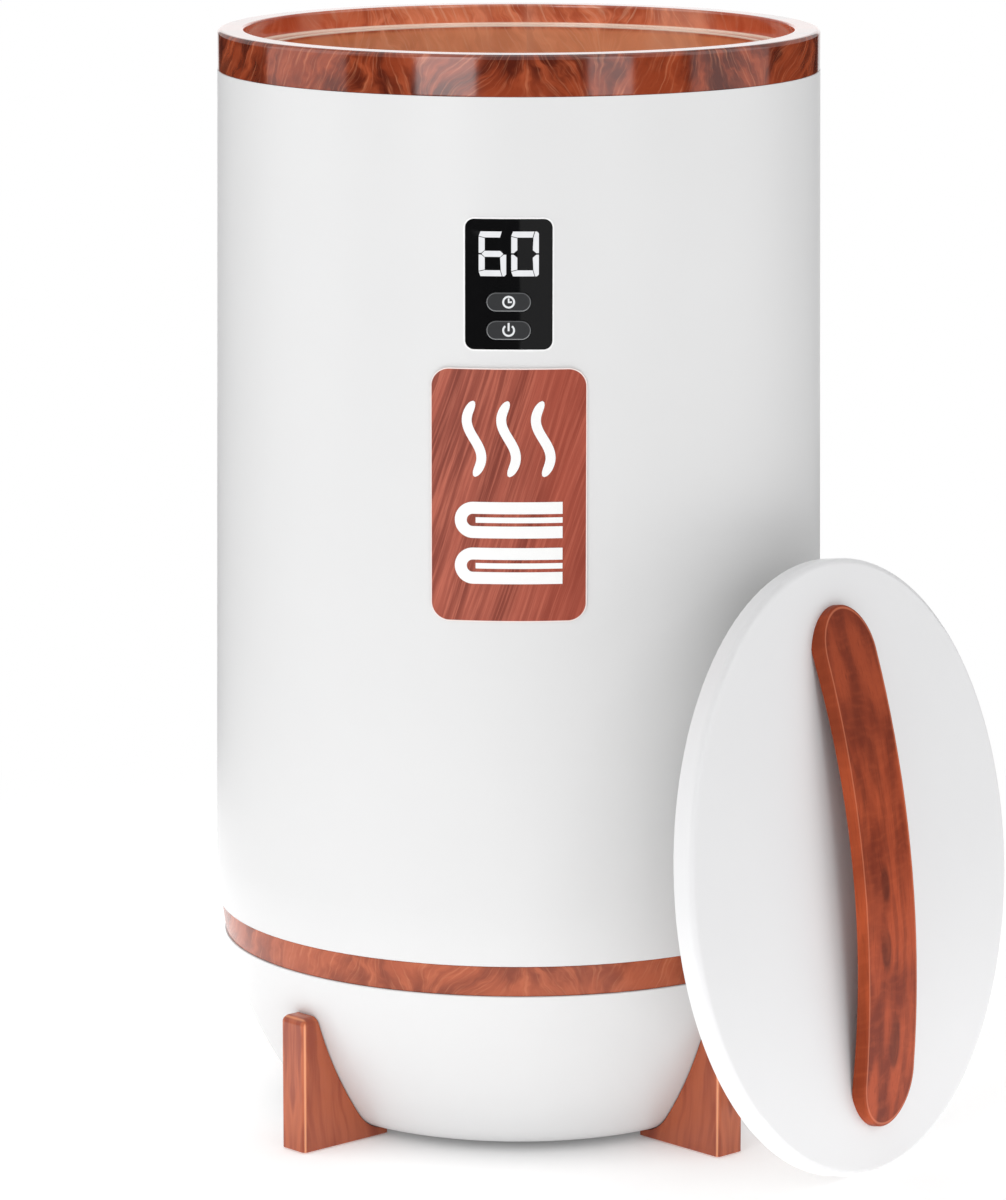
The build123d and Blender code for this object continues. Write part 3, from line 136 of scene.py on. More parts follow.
class Writer:
    """Adds nodes to a node tree, and links or sets their sockets."""

    def __init__(self, tree):
        self.nodes, self.links = tree.nodes, tree.links

    def put(self, socket, value):
        """Link or set one socket. A single number fills all the parts of a vector."""
        if isinstance(value, Wire):
            self.links.new(value.socket, socket)
        elif hasattr(socket.default_value, "__len__") and not hasattr(value, "__len__"):
            socket.default_value = [value] * len(socket.default_value)
        else:
            socket.default_value = value

    def node(self, kind, settings=None, output=0, **inputs):
        """Add any node. Settings come first, then the values or links of its sockets."""
        node = self.nodes.new(kind)
        for key, value in (settings or {}).items():
            setattr(node, key, value)
        for key, value in inputs.items():
            wanted = key.replace("_", " ").lower()
            socket = next(
                s for s in node.inputs if s.enabled and wanted in (s.identifier.lower(), s.name.lower())
            )
            self.put(socket, value)
        if isinstance(output, str):
            output = next(i for i, s in enumerate(node.outputs) if s.enabled and s.name == output)
        return Wire(self, node.outputs[output])

    def numbered(self, kind, settings, values, output=0):
        """Add a node whose sockets are filled in their order."""
        node = self.nodes.new(kind)
        for key, value in settings.items():
            setattr(node, key, value)
        for socket, value in zip(node.inputs, values):
            self.put(socket, value)
        return Wire(self, node.outputs[output])

    def maths(self, operation, *values):
        """A Math node."""
        return self.numbered("ShaderNodeMath", {"operation": operation}, values)

    def distance(self, first, second):
        """How far two offsets at right angles go together."""
        return self.maths("SQRT", first * first + second * second)

    def join(self, x, y, z):
        """A vector from its three parts."""
        return self.numbered("ShaderNodeCombineXYZ", {}, (x, y, z))

    def split(self, vector):
        """The three parts of a vector."""
        node = self.nodes.new("ShaderNodeSeparateXYZ")
        self.put(node.inputs[0], vector)
        return [Wire(self, part) for part in node.outputs]

    def blend(self, kind, first, second, share=None):
        """Add two shaders, or mix them by a share."""
        node = self.nodes.new(kind)
        self.put(node.inputs[-2], first)
        self.put(node.inputs[-1], second)
        if share is not None:
            self.put(node.inputs[0], share)
        return Wire(self, node.outputs[0])


class Finish(Writer):
    """Writes one material. The keywords are values that are the same all over its surface."""

    def __init__(self, name, shader="ShaderNodeBsdfPrincipled", **constants):
        self.material = bpy.data.materials.new(name)
        self.material.use_nodes = True
        self.material.node_tree.nodes.clear()
        super().__init__(self.material.node_tree)
        output = self.nodes.new("ShaderNodeOutputMaterial")
        self.shader = self.nodes.new(shader)
        self.links.new(self.shader.outputs[0], output.inputs["Surface"])
        self.surface(**constants)

    def vector(self, operation, *values, output=0):
        """A Vector Math node."""
        return self.numbered("ShaderNodeVectorMath", {"operation": operation}, values, output)

    def mix(self, share, first, second):
        """Mix two colours."""
        node = self.nodes.new("ShaderNodeMix")
        node.data_type = "RGBA"
        for number, value in ((0, share), (6, first), (7, second)):
            self.put(node.inputs[number], value)
        return Wire(self, node.outputs[2])

    def over(self, colour, value, low, high, share, ink):
        """Lay ink over a colour, up to a share, as a value goes from low to high."""
        return self.mix(self.ramp(value, low, high) * share, colour, ink)

    def spot(self):
        """The place on the object, in millimetres, as a vector."""
        place = self.node("ShaderNodeTexCoord", output="Object")
        return self.node("ShaderNodeVectorMath", {"operation": "SCALE"}, vector=place, scale=1 / mm)

    def noise(self, place, scale, detail=2.0, roughness=0.5):
        """Noise from 0 to 1. The scale is in features per millimetre."""
        return self.node("ShaderNodeTexNoise", vector=place, scale=scale, detail=detail, roughness=roughness)

    def grain(self, x, y, z, detail=2.0, roughness=0.5):
        """Noise at a place whose parts are already scaled, each by its own number."""
        return self.noise(self.join(x, y, z), 1.0, detail, roughness)

    def ramp(self, value, low, high, start=0.0, end=1.0):
        """A smooth step of a value between two places."""
        return self.node(
            "ShaderNodeMapRange",
            {"interpolation_type": "SMOOTHSTEP", "clamp": True},
            value=value, from_min=low, from_max=high, to_min=start, to_max=end,
        )

    def bump(self, height, depth):
        """A normal raised by a height from 0 to 1, whose full depth is in millimetres."""
        return self.node("ShaderNodeBump", distance=depth * mm, strength=1.0, height=height)

    def surface(self, **inputs):
        """Set or link the shader's own sockets, and return the material."""
        for key, value in inputs.items():
            wanted = key.replace("_", " ").lower()
            self.put(next(s for s in self.shader.inputs if s.name.lower() == wanted), value)
        return self.material


# Finishes


def moulded_plastic(name, colour, roughness=0.36, grain=0.012, **constants):
    """Satin moulded plastic with a fine even texture, faint shade changes and soft handling marks."""
    finish = Finish(name, **constants)
    place = finish.spot()
    cloud = finish.noise(place, 0.02, 2.0)
    fine = finish.noise(place, 2.6, 3.0, 0.6)
    rubbed = finish.noise(place, 0.12, 4.0, 0.62)
    dark = dimmed(colour, 0.965)
    return finish.surface(
        Base_Color=finish.mix(cloud * 0.7 + fine * 0.3, dark, colour),
        Roughness=roughness - 0.05 + 0.06 * fine + 0.06 * rubbed,
        Normal=finish.bump(fine, grain),
    )


def film_grain(finish, along, across, shades):
    """Colour of printed wood film: soft clouds, a rippled figure, and fine streaks that lean both ways."""
    lean = finish.grain(along * 0.014, 0.0, 7.0, 1.0)
    leaning = along - across * (0.45 + (lean - 0.5) * 9.6)
    cloud = finish.grain(along * 0.022, across * 0.03, 0.0, 2.0, 0.5)
    warp = finish.grain(along * 0.06, across * 0.08, 3.0, 2.0, 0.55)
    figure = finish.grain(leaning * 0.13 + warp * 2.4, across * 0.05 + warp * 0.8, 1.0, 3.0, 0.55)
    streaks = finish.grain(leaning * 0.5 + warp * 2.4, across * 0.035, 5.0, 3.0, 0.6)
    fibre = finish.grain(leaning * 2.6 + warp * 5.0, across * 0.12, 9.0, 2.0, 0.6)
    dark, middle, warm, light = shades
    colour = finish.mix(finish.ramp(cloud * 0.62 + figure * 0.38, 0.38, 0.58), dark, middle)
    colour = finish.over(colour, figure, 0.48, 0.74, 0.55, warm)
    colour = finish.over(colour, streaks, 0.5, 0.78, 0.45, light)
    colour = finish.over(colour, fibre, 0.55, 0.8, 0.3, dark)
    return colour, streaks * 0.6 + fibre * 0.4


def trim_film(name, level, shades, inner, roughness, **constants):
    """Wood-look film round the body. Inside the rim it's painted lighter, with painted reflections and painted
    shade towards the sides, lighter still below the ledge, and a painted highlight along the ledge's edge.
    """
    finish = Finish(name, **constants)
    x, y, z = finish.split(finish.spot())
    wall, mouth, ledge = 145.0, 133.0, 521.9
    around = finish.maths("ARCTAN2", x, 0.0 - y) * wall
    colour, fibre = film_grain(finish, around, z - level, shades)
    # Painted light: inside the rim the film is a lighter copy, for light that the lamps don't bring there.
    lit_inside_copy, _ = film_grain(finish, around + 300.0, z - level, inner)
    out = finish.distance(x, y)
    inside = 1.0 - finish.ramp(out, mouth, mouth + 0.8)
    # Painted light: below the ledge the inside film is lightened further towards orange.
    lower = inside * (1.0 - finish.ramp(z, ledge - 2.9, ledge - 0.9))
    # Painted reflections: soft pale patches round the inside wall, standing for the lamps seen in it.
    painted_reflection_patches = finish.ramp(finish.grain(around * 0.018, 0.0, 11.0, 1.0), 0.5, 0.62)
    lit_inside_copy = finish.mix(painted_reflection_patches * 0.45, lit_inside_copy, tint(255, 200, 172))
    # Painted shade: the inside film is darker and redder towards the sides.
    lit_inside_copy = finish.over(lit_inside_copy, abs(x), 62.0, 122.0, 0.75, tint(186, 66, 35))
    colour = finish.mix(lower * 0.5, finish.mix(inside, colour, lit_inside_copy), tint(255, 164, 108))
    # Painted highlight: a pale line along the ledge's edge.
    edge = (1.0 - finish.ramp(abs(z - ledge), 0.5, 1.0)) * inside
    return finish.surface(
        Base_Color=finish.mix(edge * 0.9, colour, tint(255, 232, 212)),
        Roughness=roughness + 0.05 * fibre,
        Normal=finish.bump(fibre, 0.003),
    )


def leg_wood():
    """Satin wood-look legs: upright grain that fans out towards the foot, painted shade on the wide faces, and
    a painted highlight on the outer edges and the top.

    out is the distance from the body's axis, and side is nought in each leg's middle plane.
    """
    finish = Finish("Leg wood", specular_ior_level=0.3, coat_weight=0.4, coat_roughness=0.07)
    x, y, z = finish.split(finish.spot())
    out = finish.distance(x, y)
    side = abs(abs(x) - abs(y))
    fanned = (out - 149.0) * (1.0 + z * 0.006) + side * 0.8
    warp = finish.grain(out * 0.05, side * 0.05, z * 0.02, 2.0)
    broad = finish.grain(fanned * 0.11 + warp * 2.0, side * 0.05, z * 0.014, 3.0, 0.55)
    lines = finish.grain(fanned * 0.5 + warp * 3.0, side * 0.2, z * 0.025, 3.0, 0.6)
    fibre = finish.grain(fanned * 3.2, side * 2.0, z * 0.09, 2.0, 0.6)
    colour = finish.mix(finish.ramp(broad, 0.34, 0.62), tint(150, 63, 34), tint(190, 97, 58))
    colour = finish.over(colour, lines, 0.5, 0.75, 0.25, tint(204, 116, 76))
    colour = finish.over(colour, fibre, 0.54, 0.78, 0.22, tint(120, 49, 26))
    # Painted shade: the wide faces of each leg are darker.
    shaded_flank = finish.ramp(side, 11.0, 11.3) * (1.0 - finish.ramp(out, 146.9, 147.3))
    colour = finish.mix(shaded_flank * 0.35, colour, tint(140, 58, 32))
    # Painted highlight: a bright line down each leg's outer edges and along its top.
    painted_edge_highlight = finish.ramp(out, 147.2, 147.9) * finish.ramp(side, 10.6, 11.3)
    painted_edge_highlight = finish.maths("MAXIMUM", painted_edge_highlight, finish.ramp(z, 65.2, 66.3) * finish.ramp(out, 146.2, 147.6))
    colour = finish.mix(painted_edge_highlight * 0.7, colour, tint(255, 176, 130))
    return finish.surface(
        Base_Color=colour,
        Roughness=0.3 + 0.08 * lines,
        Normal=finish.bump(lines * 0.6 + fibre * 0.4, 0.01),
    )


def handle_wood():
    """Satin wood-look handle: long grain that bends round three dark knots, with a fine cross ripple, a
    painted-lighter side wall and a painted highlight along its edge.
    """
    finish = Finish("Handle wood", specular_ior_level=0.08)
    place = finish.vector("SUBTRACT", finish.spot(), tuple(lid_centre / mm))
    along = finish.vector("DOT_PRODUCT", place, tuple(handle_along), output=1)
    across = finish.vector("DOT_PRODUCT", place, tuple(handle_across), output=1)
    rise = finish.vector("DOT_PRODUCT", place, tuple(lid_out), output=1)
    drift = finish.grain(along * 0.011, across * 0.028, rise * 0.03, 2.0, 0.45)
    # Each knot's place along and across the handle, and its half length and half width
    knots = ((-8.0, 3.0, 9.0, 4.0), (-40.0, 5.0, 10.0, 4.5), (-86.0, -3.0, 12.0, 5.0))
    bends, cores = 0.0, 0.0
    for centre, side, length, width in knots:
        far, wide = (along - centre) / length, (across - side) / width
        apart = far * far + wide * wide
        bends = bends + 2.6 / (apart + 0.5)
        cores = cores + 1.0 - finish.ramp(apart, 0.1, 1.6)
    rings = finish.maths("SINE", across * 0.34 + drift * 26.0 + bends * 2.0)
    broad = finish.grain(along * 0.02, across * 0.05, 2.0, 2.0, 0.5)
    ripple = finish.grain(along * 0.3 + drift * 8.0, across * 0.09, 0.0, 2.0, 0.5)
    fibre = finish.grain(along * 0.05, across * 0.9 + drift * 12.0 + bends, rise, 3.0, 0.62)
    colour = finish.mix(finish.ramp(broad, 0.36, 0.62), tint(122, 46, 24), tint(172, 75, 42))
    colour = finish.over(colour, rings, 0.0, 1.0, 0.35, tint(98, 36, 20))
    colour = finish.over(colour, ripple, 0.4, 0.8, 0.22, tint(196, 92, 54))
    colour = finish.over(colour, fibre, 0.5, 0.76, 0.42, tint(90, 34, 19))
    colour = finish.mix(cores * 0.55, colour, tint(72, 26, 15))
    colour = finish.over(colour, along, 10.0, 110.0, 0.3, tint(104, 40, 23))
    half_run = 101.0
    end = finish.maths("MAXIMUM", abs(along) - half_run, 0.0)
    reach = finish.distance(end, across)
    # Painted highlight: a thin bright line where the side wall meets the face, laid on below.
    edge = finish.ramp(reach, 21.3, 21.9) * (1.0 - finish.ramp(reach, 22.3, 22.8))
    # Painted light: the side wall is lighter than the face.
    colour = finish.over(colour, reach, 21.8, 22.8, 0.2, tint(196, 96, 60))
    colour = finish.mix(edge * 0.4, colour, tint(232, 138, 102))
    return finish.surface(
        Base_Color=colour,
        Roughness=0.38 + 0.1 * fibre,
        Normal=finish.bump(ripple * 0.5 + fibre * 0.5, 0.015),
    )


def plaque_film(settings):
    """The plaque's film: straight slanted grain, a painted reflection that leaves it paler to the left, and a
    painted highlight as a thin pale line round its edge.
    """
    finish = Finish("Plaque film", specular_ior_level=0.4, coat_weight=0.15, coat_roughness=0.2)
    x, _, z = finish.split(finish.spot())
    lean = radians(72)
    along = x * cos(lean) + z * sin(lean)
    across = z * cos(lean) - x * sin(lean)
    drift = finish.grain(across * 0.02, along * 0.006, 0.0, 2.0)
    slip = across + (drift - 0.5) * 12.0
    broad = finish.grain(slip * 0.14, along * 0.008, 1.0, 2.0, 0.5)
    lines = finish.grain(slip * 0.62, along * 0.018, 2.0, 3.0, 0.6)
    fibre = finish.grain(slip * 2.6, along * 0.07, 3.0, 2.0, 0.6)
    colour = finish.mix(finish.ramp(broad, 0.3, 0.7), tint(126, 50, 34), tint(172, 84, 64))
    colour = finish.over(colour, lines, 0.42, 0.7, 0.6, tint(202, 110, 86))
    colour = finish.over(colour, fibre, 0.5, 0.74, 0.4, tint(112, 42, 28))
    # Painted reflection: redder towards +x, so the left reads paler as if hazed by reflected light.
    colour = finish.over(colour, x, -4.0, 26.0, 0.4, tint(164, 62, 38))
    half, middle = (plaque_high - plaque_low) / 2 / mm, (plaque_high + plaque_low) / 2 / mm
    corner, line = settings.corner / mm, settings.line / mm
    over_x = finish.maths("MAXIMUM", abs(x) - (half.x - corner), 0.0)
    over_z = finish.maths("MAXIMUM", abs(z - middle.z) - (half.z - corner), 0.0)
    reach = finish.distance(over_x, over_z)
    # Painted highlight: the thin pale line round the plaque's edge.
    edge = finish.ramp(reach, corner - line - 0.15, corner - line + 0.15)
    return finish.surface(
        Base_Color=finish.mix(edge, colour, tint(240, 226, 222)),
        Roughness=0.4 + 0.08 * lines,
        Normal=finish.bump(lines * 0.5 + fibre * 0.5, 0.006),
    )


def panel_gloss():
    """Black gloss acrylic with the faintest haze."""
    finish = Finish("Panel gloss", specular_ior_level=0.5)
    place = finish.spot()
    haze = finish.noise(place, 0.3, 3.0)
    fine = finish.noise(place, 3.0, 2.0)
    return finish.surface(
        Base_Color=finish.mix(haze, tint(12, 12, 13), tint(16, 16, 17)),
        Roughness=0.03 + 0.02 * haze,
        Normal=finish.bump(fine, 0.002),
    )


def key_plastic():
    """Dark satin keys with a painted highlight on their rounded edges, strongest along their lower sides."""
    finish = Finish("Key plastic")
    place = finish.spot()
    x, _, z = finish.split(place)
    low, high = (sum(corner.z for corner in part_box(key)) / 2 / mm for key in ("power_button", "timer_button"))
    rise = z - (low + (high - low) * finish.maths("GREATER_THAN", z, (low + high) / 2))
    half_length, half_height = 10.2, 4.35
    over = finish.maths("MAXIMUM", abs(x) - (half_length - half_height), 0.0)
    reach = finish.distance(over, rise)
    # Painted highlight: a pale line round each key's rounded edge, strongest along its lower side.
    rim = finish.ramp(reach, half_height - 0.5, half_height - 0.25)
    share = finish.ramp(0.0 - rise, -half_height, half_height, 0.2, 0.7)
    fine = finish.noise(place, 2.4, 3.0, 0.6)
    colour = finish.mix(fine, tint(38, 39, 41), tint(43, 44, 46))
    return finish.surface(
        Base_Color=finish.mix(rim * share, colour, tint(176, 178, 180)),
        Roughness=0.36 + 0.08 * fine,
        Normal=finish.bump(fine, 0.006),
    )


def lit_windows():
    """Diffusing acrylic lit from behind, with slight unevenness."""
    finish = Finish("Lit digits", emission_strength=1.0, roughness=0.4)
    place = finish.spot()
    glow = finish.noise(place, 0.25, 2.0)
    return finish.surface(
        Base_Color=finish.mix(glow, tint(60, 60, 60), tint(70, 70, 72)),
        Emission_Color=finish.mix(glow, tint(222, 223, 226), tint(234, 235, 237)),
    )


def brushed_metal(name, colour, roughness=0.28, around=True, lines=3.0, **constants):
    """Bare metal with fine turning lines round the upright axis, or straight brushing."""
    finish = Finish(name, metallic=1.0, **constants)
    place = finish.spot()
    x, y, z = finish.split(place)
    out = finish.distance(x, y)
    lay = (x * 0.02, y * 0.02, z * lines) if around else (x * lines, y * 0.05, z * 0.05)
    brush = finish.grain(*lay, 3.0, 0.6)
    floor = finish.grain(out * lines, x * 0.01, z * 0.02, 2.0, 0.6)
    cloud = finish.noise(place, 0.03, 2.0)
    dark = dimmed(colour, 0.85)
    return finish.surface(
        Base_Color=finish.mix(brush * 0.5 + cloud * 0.5, dark, colour),
        Roughness=roughness + 0.12 * brush - 0.04 * floor,
        Normal=finish.bump(brush * 0.6 + floor * 0.4, 0.004),
    )


def speckled(name, dark, light, scale, roughness=0.6, depth=0.05, **constants):
    """A mottled surface, such as rubber, foam or silicone."""
    finish = Finish(name, **constants)
    place = finish.spot()
    grains = finish.noise(place, scale, 4.0, 0.65)
    broad = finish.noise(place, scale * 0.12, 2.0)
    return finish.surface(
        Base_Color=finish.mix(grains * 0.7 + broad * 0.3, dark, light),
        Roughness=roughness + 0.12 * grains,
        Normal=finish.bump(grains, depth),
    )


def heater_film():
    """Silicone heating film with its flat element showing through in close upright turns."""
    finish = Finish("Heater silicone", roughness=0.5)
    place = finish.spot()
    x, y, z = finish.split(place)
    radius, pitch = 118.0, 6.0
    around = finish.maths("ARCTAN2", x, 0.0 - y) * radius
    wave = abs(finish.maths("SINE", around * (pi / pitch)))
    ends = finish.ramp(z, 140.0, 144.0) * finish.ramp(z, 415.0, 411.0)
    tracks = finish.ramp(wave, 0.55, 0.75) * ends
    grains = finish.noise(place, 1.2, 3.0)
    colour = finish.mix(grains, tint(172, 60, 34), tint(190, 74, 44))
    return finish.surface(
        Base_Color=finish.mix(tracks, colour, tint(116, 58, 40)),
        Roughness=0.5 + 0.12 * grains,
        Normal=finish.bump(tracks * 0.8 + grains * 0.2, 0.12),
    )


def circuit_board():
    """Green solder mask with copper tracks under it and small plated holes."""
    finish = Finish("Circuit board", specular_ior_level=0.5)
    place = finish.spot()
    cells = finish.node(
        "ShaderNodeTexBrick", {"offset": 0.5}, output="Fac", vector=place, scale=0.22, mortar_size=0.012,
        brick_width=0.9, row_height=0.3,
    )
    dots = finish.node("ShaderNodeTexVoronoi", {"feature": "F1"}, vector=place, scale=0.35)
    tone = finish.noise(place, 0.1, 2.0)
    colour = finish.mix(tone, tint(16, 84, 48), tint(24, 100, 58))
    colour = finish.mix(cells * 0.6, colour, tint(58, 138, 88))
    colour = finish.mix(1.0 - finish.ramp(dots, 0.08, 0.12), colour, tint(196, 186, 150))
    return finish.surface(Base_Color=colour, Roughness=0.32 + 0.1 * tone, Normal=finish.bump(cells, 0.03))


def slot_finishes(looks):
    """One material for each of the record's slots, and one for the band."""
    deep = (tint(84, 29, 16), tint(144, 60, 33), tint(180, 87, 53), tint(224, 142, 104))
    # Lighter shades for the film inside the rim: painted light, a lit copy of the film's colours.
    lit_inside_shades = (tint(180, 80, 50), tint(224, 126, 88), tint(248, 158, 120), tint(255, 210, 176))
    ruddy = (tint(132, 60, 38), tint(171, 85, 55), tint(188, 101, 68), tint(214, 134, 95))
    finishes = {
        "trim_film": trim_film("Trim film", 522.0, deep, lit_inside_shades, 0.075, specular_ior_level=0.95),
        "base_band": trim_film("Band film", 95.7, ruddy, ruddy, 0.24, specular_ior_level=0.32),
        "leg_wood": leg_wood(),
        "handle_wood": handle_wood(),
        "plaque_film": plaque_film(looks.id_data.warmer_plaque),
        "black_fascia": panel_gloss(),
        "key_plastic": key_plastic(),
        "lit_windows": lit_windows(),
        "heater_silicone": heater_film(),
        "circuit_board": circuit_board(),
        "cable": speckled("Flat cable", tint(150, 150, 152), tint(186, 186, 188), 0.9, 0.5, 0.02),
    }
    # Slot, colours as screen values, then the rest of what each kind of finish takes
    plain = {
        moulded_plastic: (
            ("white_shell", [value * 255 for value in looks.white], 0.34),
            ("white_lid", (232, 232, 233), 0.36),
            ("white_cover", (224, 224, 224), 0.5, 0.03),
            ("white_liner", (230, 230, 229), 0.42),
            ("white_socket", (232, 230, 224), 0.45, 0.02),
            ("black_frame", (34, 34, 36), 0.5, 0.03),
            ("black_module", (26, 26, 28), 0.45, 0.02),
            ("relay_case", (30, 64, 120), 0.4, 0.02),
            ("transformer_core", (202, 172, 60), 0.5, 0.04),
            ("terminal_green", (26, 122, 66), 0.42, 0.02),
            ("fuse_body", (206, 200, 188), 0.35, 0.01),
        ),
        speckled: (
            ("white_seal", (214, 214, 212), (226, 226, 224), 1.5, 0.55, 0.01),
            ("black_rubber", (24, 24, 25), (38, 38, 39), 1.6, 0.62, 0.03),
            ("lead_wire", (190, 190, 186), (214, 214, 208), 2.0, 0.45, 0.01),
            ("foam", (214, 206, 186), (236, 230, 214), 0.9, 0.85, 0.3),
        ),
        brushed_metal: (
            ("bucket_aluminium", (247, 247, 248), 0.5),
            ("screws", (170, 171, 174), 0.3, False, 1.2),
            ("capacitor_can", (176, 178, 182), 0.25, True, 1.0),
            ("thermostat_can", (190, 186, 178), 0.3, True, 2.0),
            ("sensor_can", (196, 196, 196), 0.24, True, 2.0),
        ),
    }
    for kind, rows in plain.items():
        for slot, *values in rows:
            values = [tint(*value) if hasattr(value, "__len__") else value for value in values]
            finishes[slot] = kind(slot.replace("_", " ").capitalize(), *values)
    return finishes


# Mesh helpers


def plate_mesh(name, outlines, thickness, bend):
    """A thin plate from flat outlines in millimetres, put in place point by point by bend(x, z, lift)."""
    shape = bmesh.new()
    for outline in outlines:
        grid_plate(shape, outline, thickness, bend)
    bmesh.ops.recalc_face_normals(shape, faces=shape.faces)
    mesh = bpy.data.meshes.new(name)
    shape.to_mesh(mesh)
    shape.free()
    return mesh


def grid_plate(shape, strip, thickness, bend):
    """Add one closed strip, given as pairs of points (one on each side), as a solid plate."""
    low = [[shape.verts.new(bend(x, z, 0.0)) for x, z in pair] for pair in strip]
    top = [[shape.verts.new(bend(x, z, thickness)) for x, z in pair] for pair in strip]
    closed = strip[0] == strip[-1]
    for i in range(len(strip) - 1):
        a, b = i, i + 1
        shape.faces.new((top[a][0], top[a][1], top[b][1], top[b][0]))
        shape.faces.new((low[a][1], low[a][0], low[b][0], low[b][1]))
        for side in (0, 1):
            quad = (low[a][side], low[b][side], top[b][side], top[a][side])
            shape.faces.new(quad)
    if not closed:
        for i in (0, len(strip) - 1):
            shape.faces.new((low[i][0], low[i][1], top[i][1], top[i][0]))
    bmesh.ops.remove_doubles(shape, verts=shape.verts, dist=1e-7)


def arc_strip(centre, inner, outer, start, end, steps=48):
    """A ring or part of one, as pairs of points. Angles are in degrees from +X, counterclockwise."""
    pairs = []
    for i in range(steps + 1):
        angle = radians(start + (end - start) * i / steps)
        pairs.append(
            tuple((centre[0] + r * cos(angle), centre[1] + r * sin(angle)) for r in (inner, outer))
        )
    if end - start >= 360:
        pairs[-1] = pairs[0]
    return pairs


def bar_strip(start, end, width, steps=8):
    """A straight bar, as pairs of points."""
    a, b = Vector(start), Vector(end)
    side = (b - a).normalized().orthogonal() * (width / 2)
    return [
        (tuple(a.lerp(b, i / steps) + side), tuple(a.lerp(b, i / steps) - side)) for i in range(steps + 1)
    ]


def keep(name, mesh, material, body):
    """Make a finished piece of a mesh and let it ride on a body."""
    piece = bpy.data.objects.new(name, mesh)
    if not mesh.materials:
        mesh.materials.append(material)
    bpy.context.scene.collection.objects.link(piece)
    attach(piece, body)
    return piece


# Geometry Nodes


class Tree(Writer):
    """Writes one Geometry Nodes tree with named inputs, of which most are lengths."""

    def __init__(self, name, lengths, **inputs):
        self.group = bpy.data.node_groups.new(name, "GeometryNodeTree")
        super().__init__(self.group)
        face = self.group.interface
        self.sockets = {}
        for key, kind in {**dict.fromkeys(lengths, "Float"), **inputs, "Material": "Material"}.items():
            self.sockets[key] = face.new_socket(key, in_out="INPUT", socket_type=f"NodeSocket{kind}")
        face.new_socket("Geometry", in_out="OUTPUT", socket_type="NodeSocketGeometry")
        self.start = self.nodes.new("NodeGroupInput")
        self.end = self.nodes.new("NodeGroupOutput")

    def value(self, key):
        """An input of the tree."""
        return Wire(self, self.start.outputs[key])

    def close(self, geometry):
        """End the tree in plain mesh with its material."""
        real = self.node("GeometryNodeRealizeInstances", geometry=geometry)
        done = self.node("GeometryNodeSetMaterial", geometry=real, material=self.value("Material"))
        self.put(self.end.inputs[0], done)
        return self

    def mesh(self, name, **values):
        """Run the tree with these values, and return its result as a plain mesh."""
        carrier = bpy.data.objects.new(name + "_carrier", bpy.data.meshes.new(name + "_carrier"))
        bpy.context.scene.collection.objects.link(carrier)
        modifier = carrier.modifiers.new("Shape", "NODES")
        modifier.node_group = self.group
        for key, value in values.items():
            modifier[self.sockets[key].identifier] = value
        bpy.context.view_layer.update()
        ready = carrier.evaluated_get(bpy.context.evaluated_depsgraph_get())
        made = bpy.data.meshes.new_from_object(ready)
        made.name = name
        carrier.modifiers.remove(modifier)
        bpy.data.objects.remove(carrier)
        return made


def wall_line_tree():
    """A raised line that follows a rounded rectangle on the body's wall."""
    lengths = ("Width", "Height", "Corner", "Level", "Line", "Rise", "Sink")
    tree = Tree("Line on the wall", lengths)
    width, height, corner, middle, line, rise, sink = (tree.value(key) for key in lengths)

    def rounded_rectangle(across, up, radius, steps):
        flat = tree.node(
            "GeometryNodeCurvePrimitiveQuadrilateral", {"mode": "RECTANGLE"}, width=across, height=up
        )
        return tree.node("GeometryNodeFilletCurve", {"mode": "POLY"}, curve=flat, radius=radius, count=steps)

    outline = rounded_rectangle(width, height, corner, 10)
    fine = tree.node("GeometryNodeResampleCurve", {"mode": "COUNT"}, curve=outline, count=400)
    section = rounded_rectangle(line, rise + sink, rise * 0.4, 3)
    swept = tree.node("GeometryNodeCurveToMesh", curve=fine, profile_curve=section, fill_caps=True)
    across, up, lift = tree.split(tree.node("GeometryNodeInputPosition"))
    level = up + middle
    wall = (wall_top_level - level) * wall_draft + wall_top_radius
    front = (tree.maths("SQRT", wall * wall - across * across) + (lift + (rise - sink) * 0.5)) * -1.0
    bent = tree.node("GeometryNodeSetPosition", geometry=swept, position=tree.join(across, front, level))
    return tree.close(tree.node("GeometryNodeSetShadeSmooth", geometry=bent, shade_smooth=True))


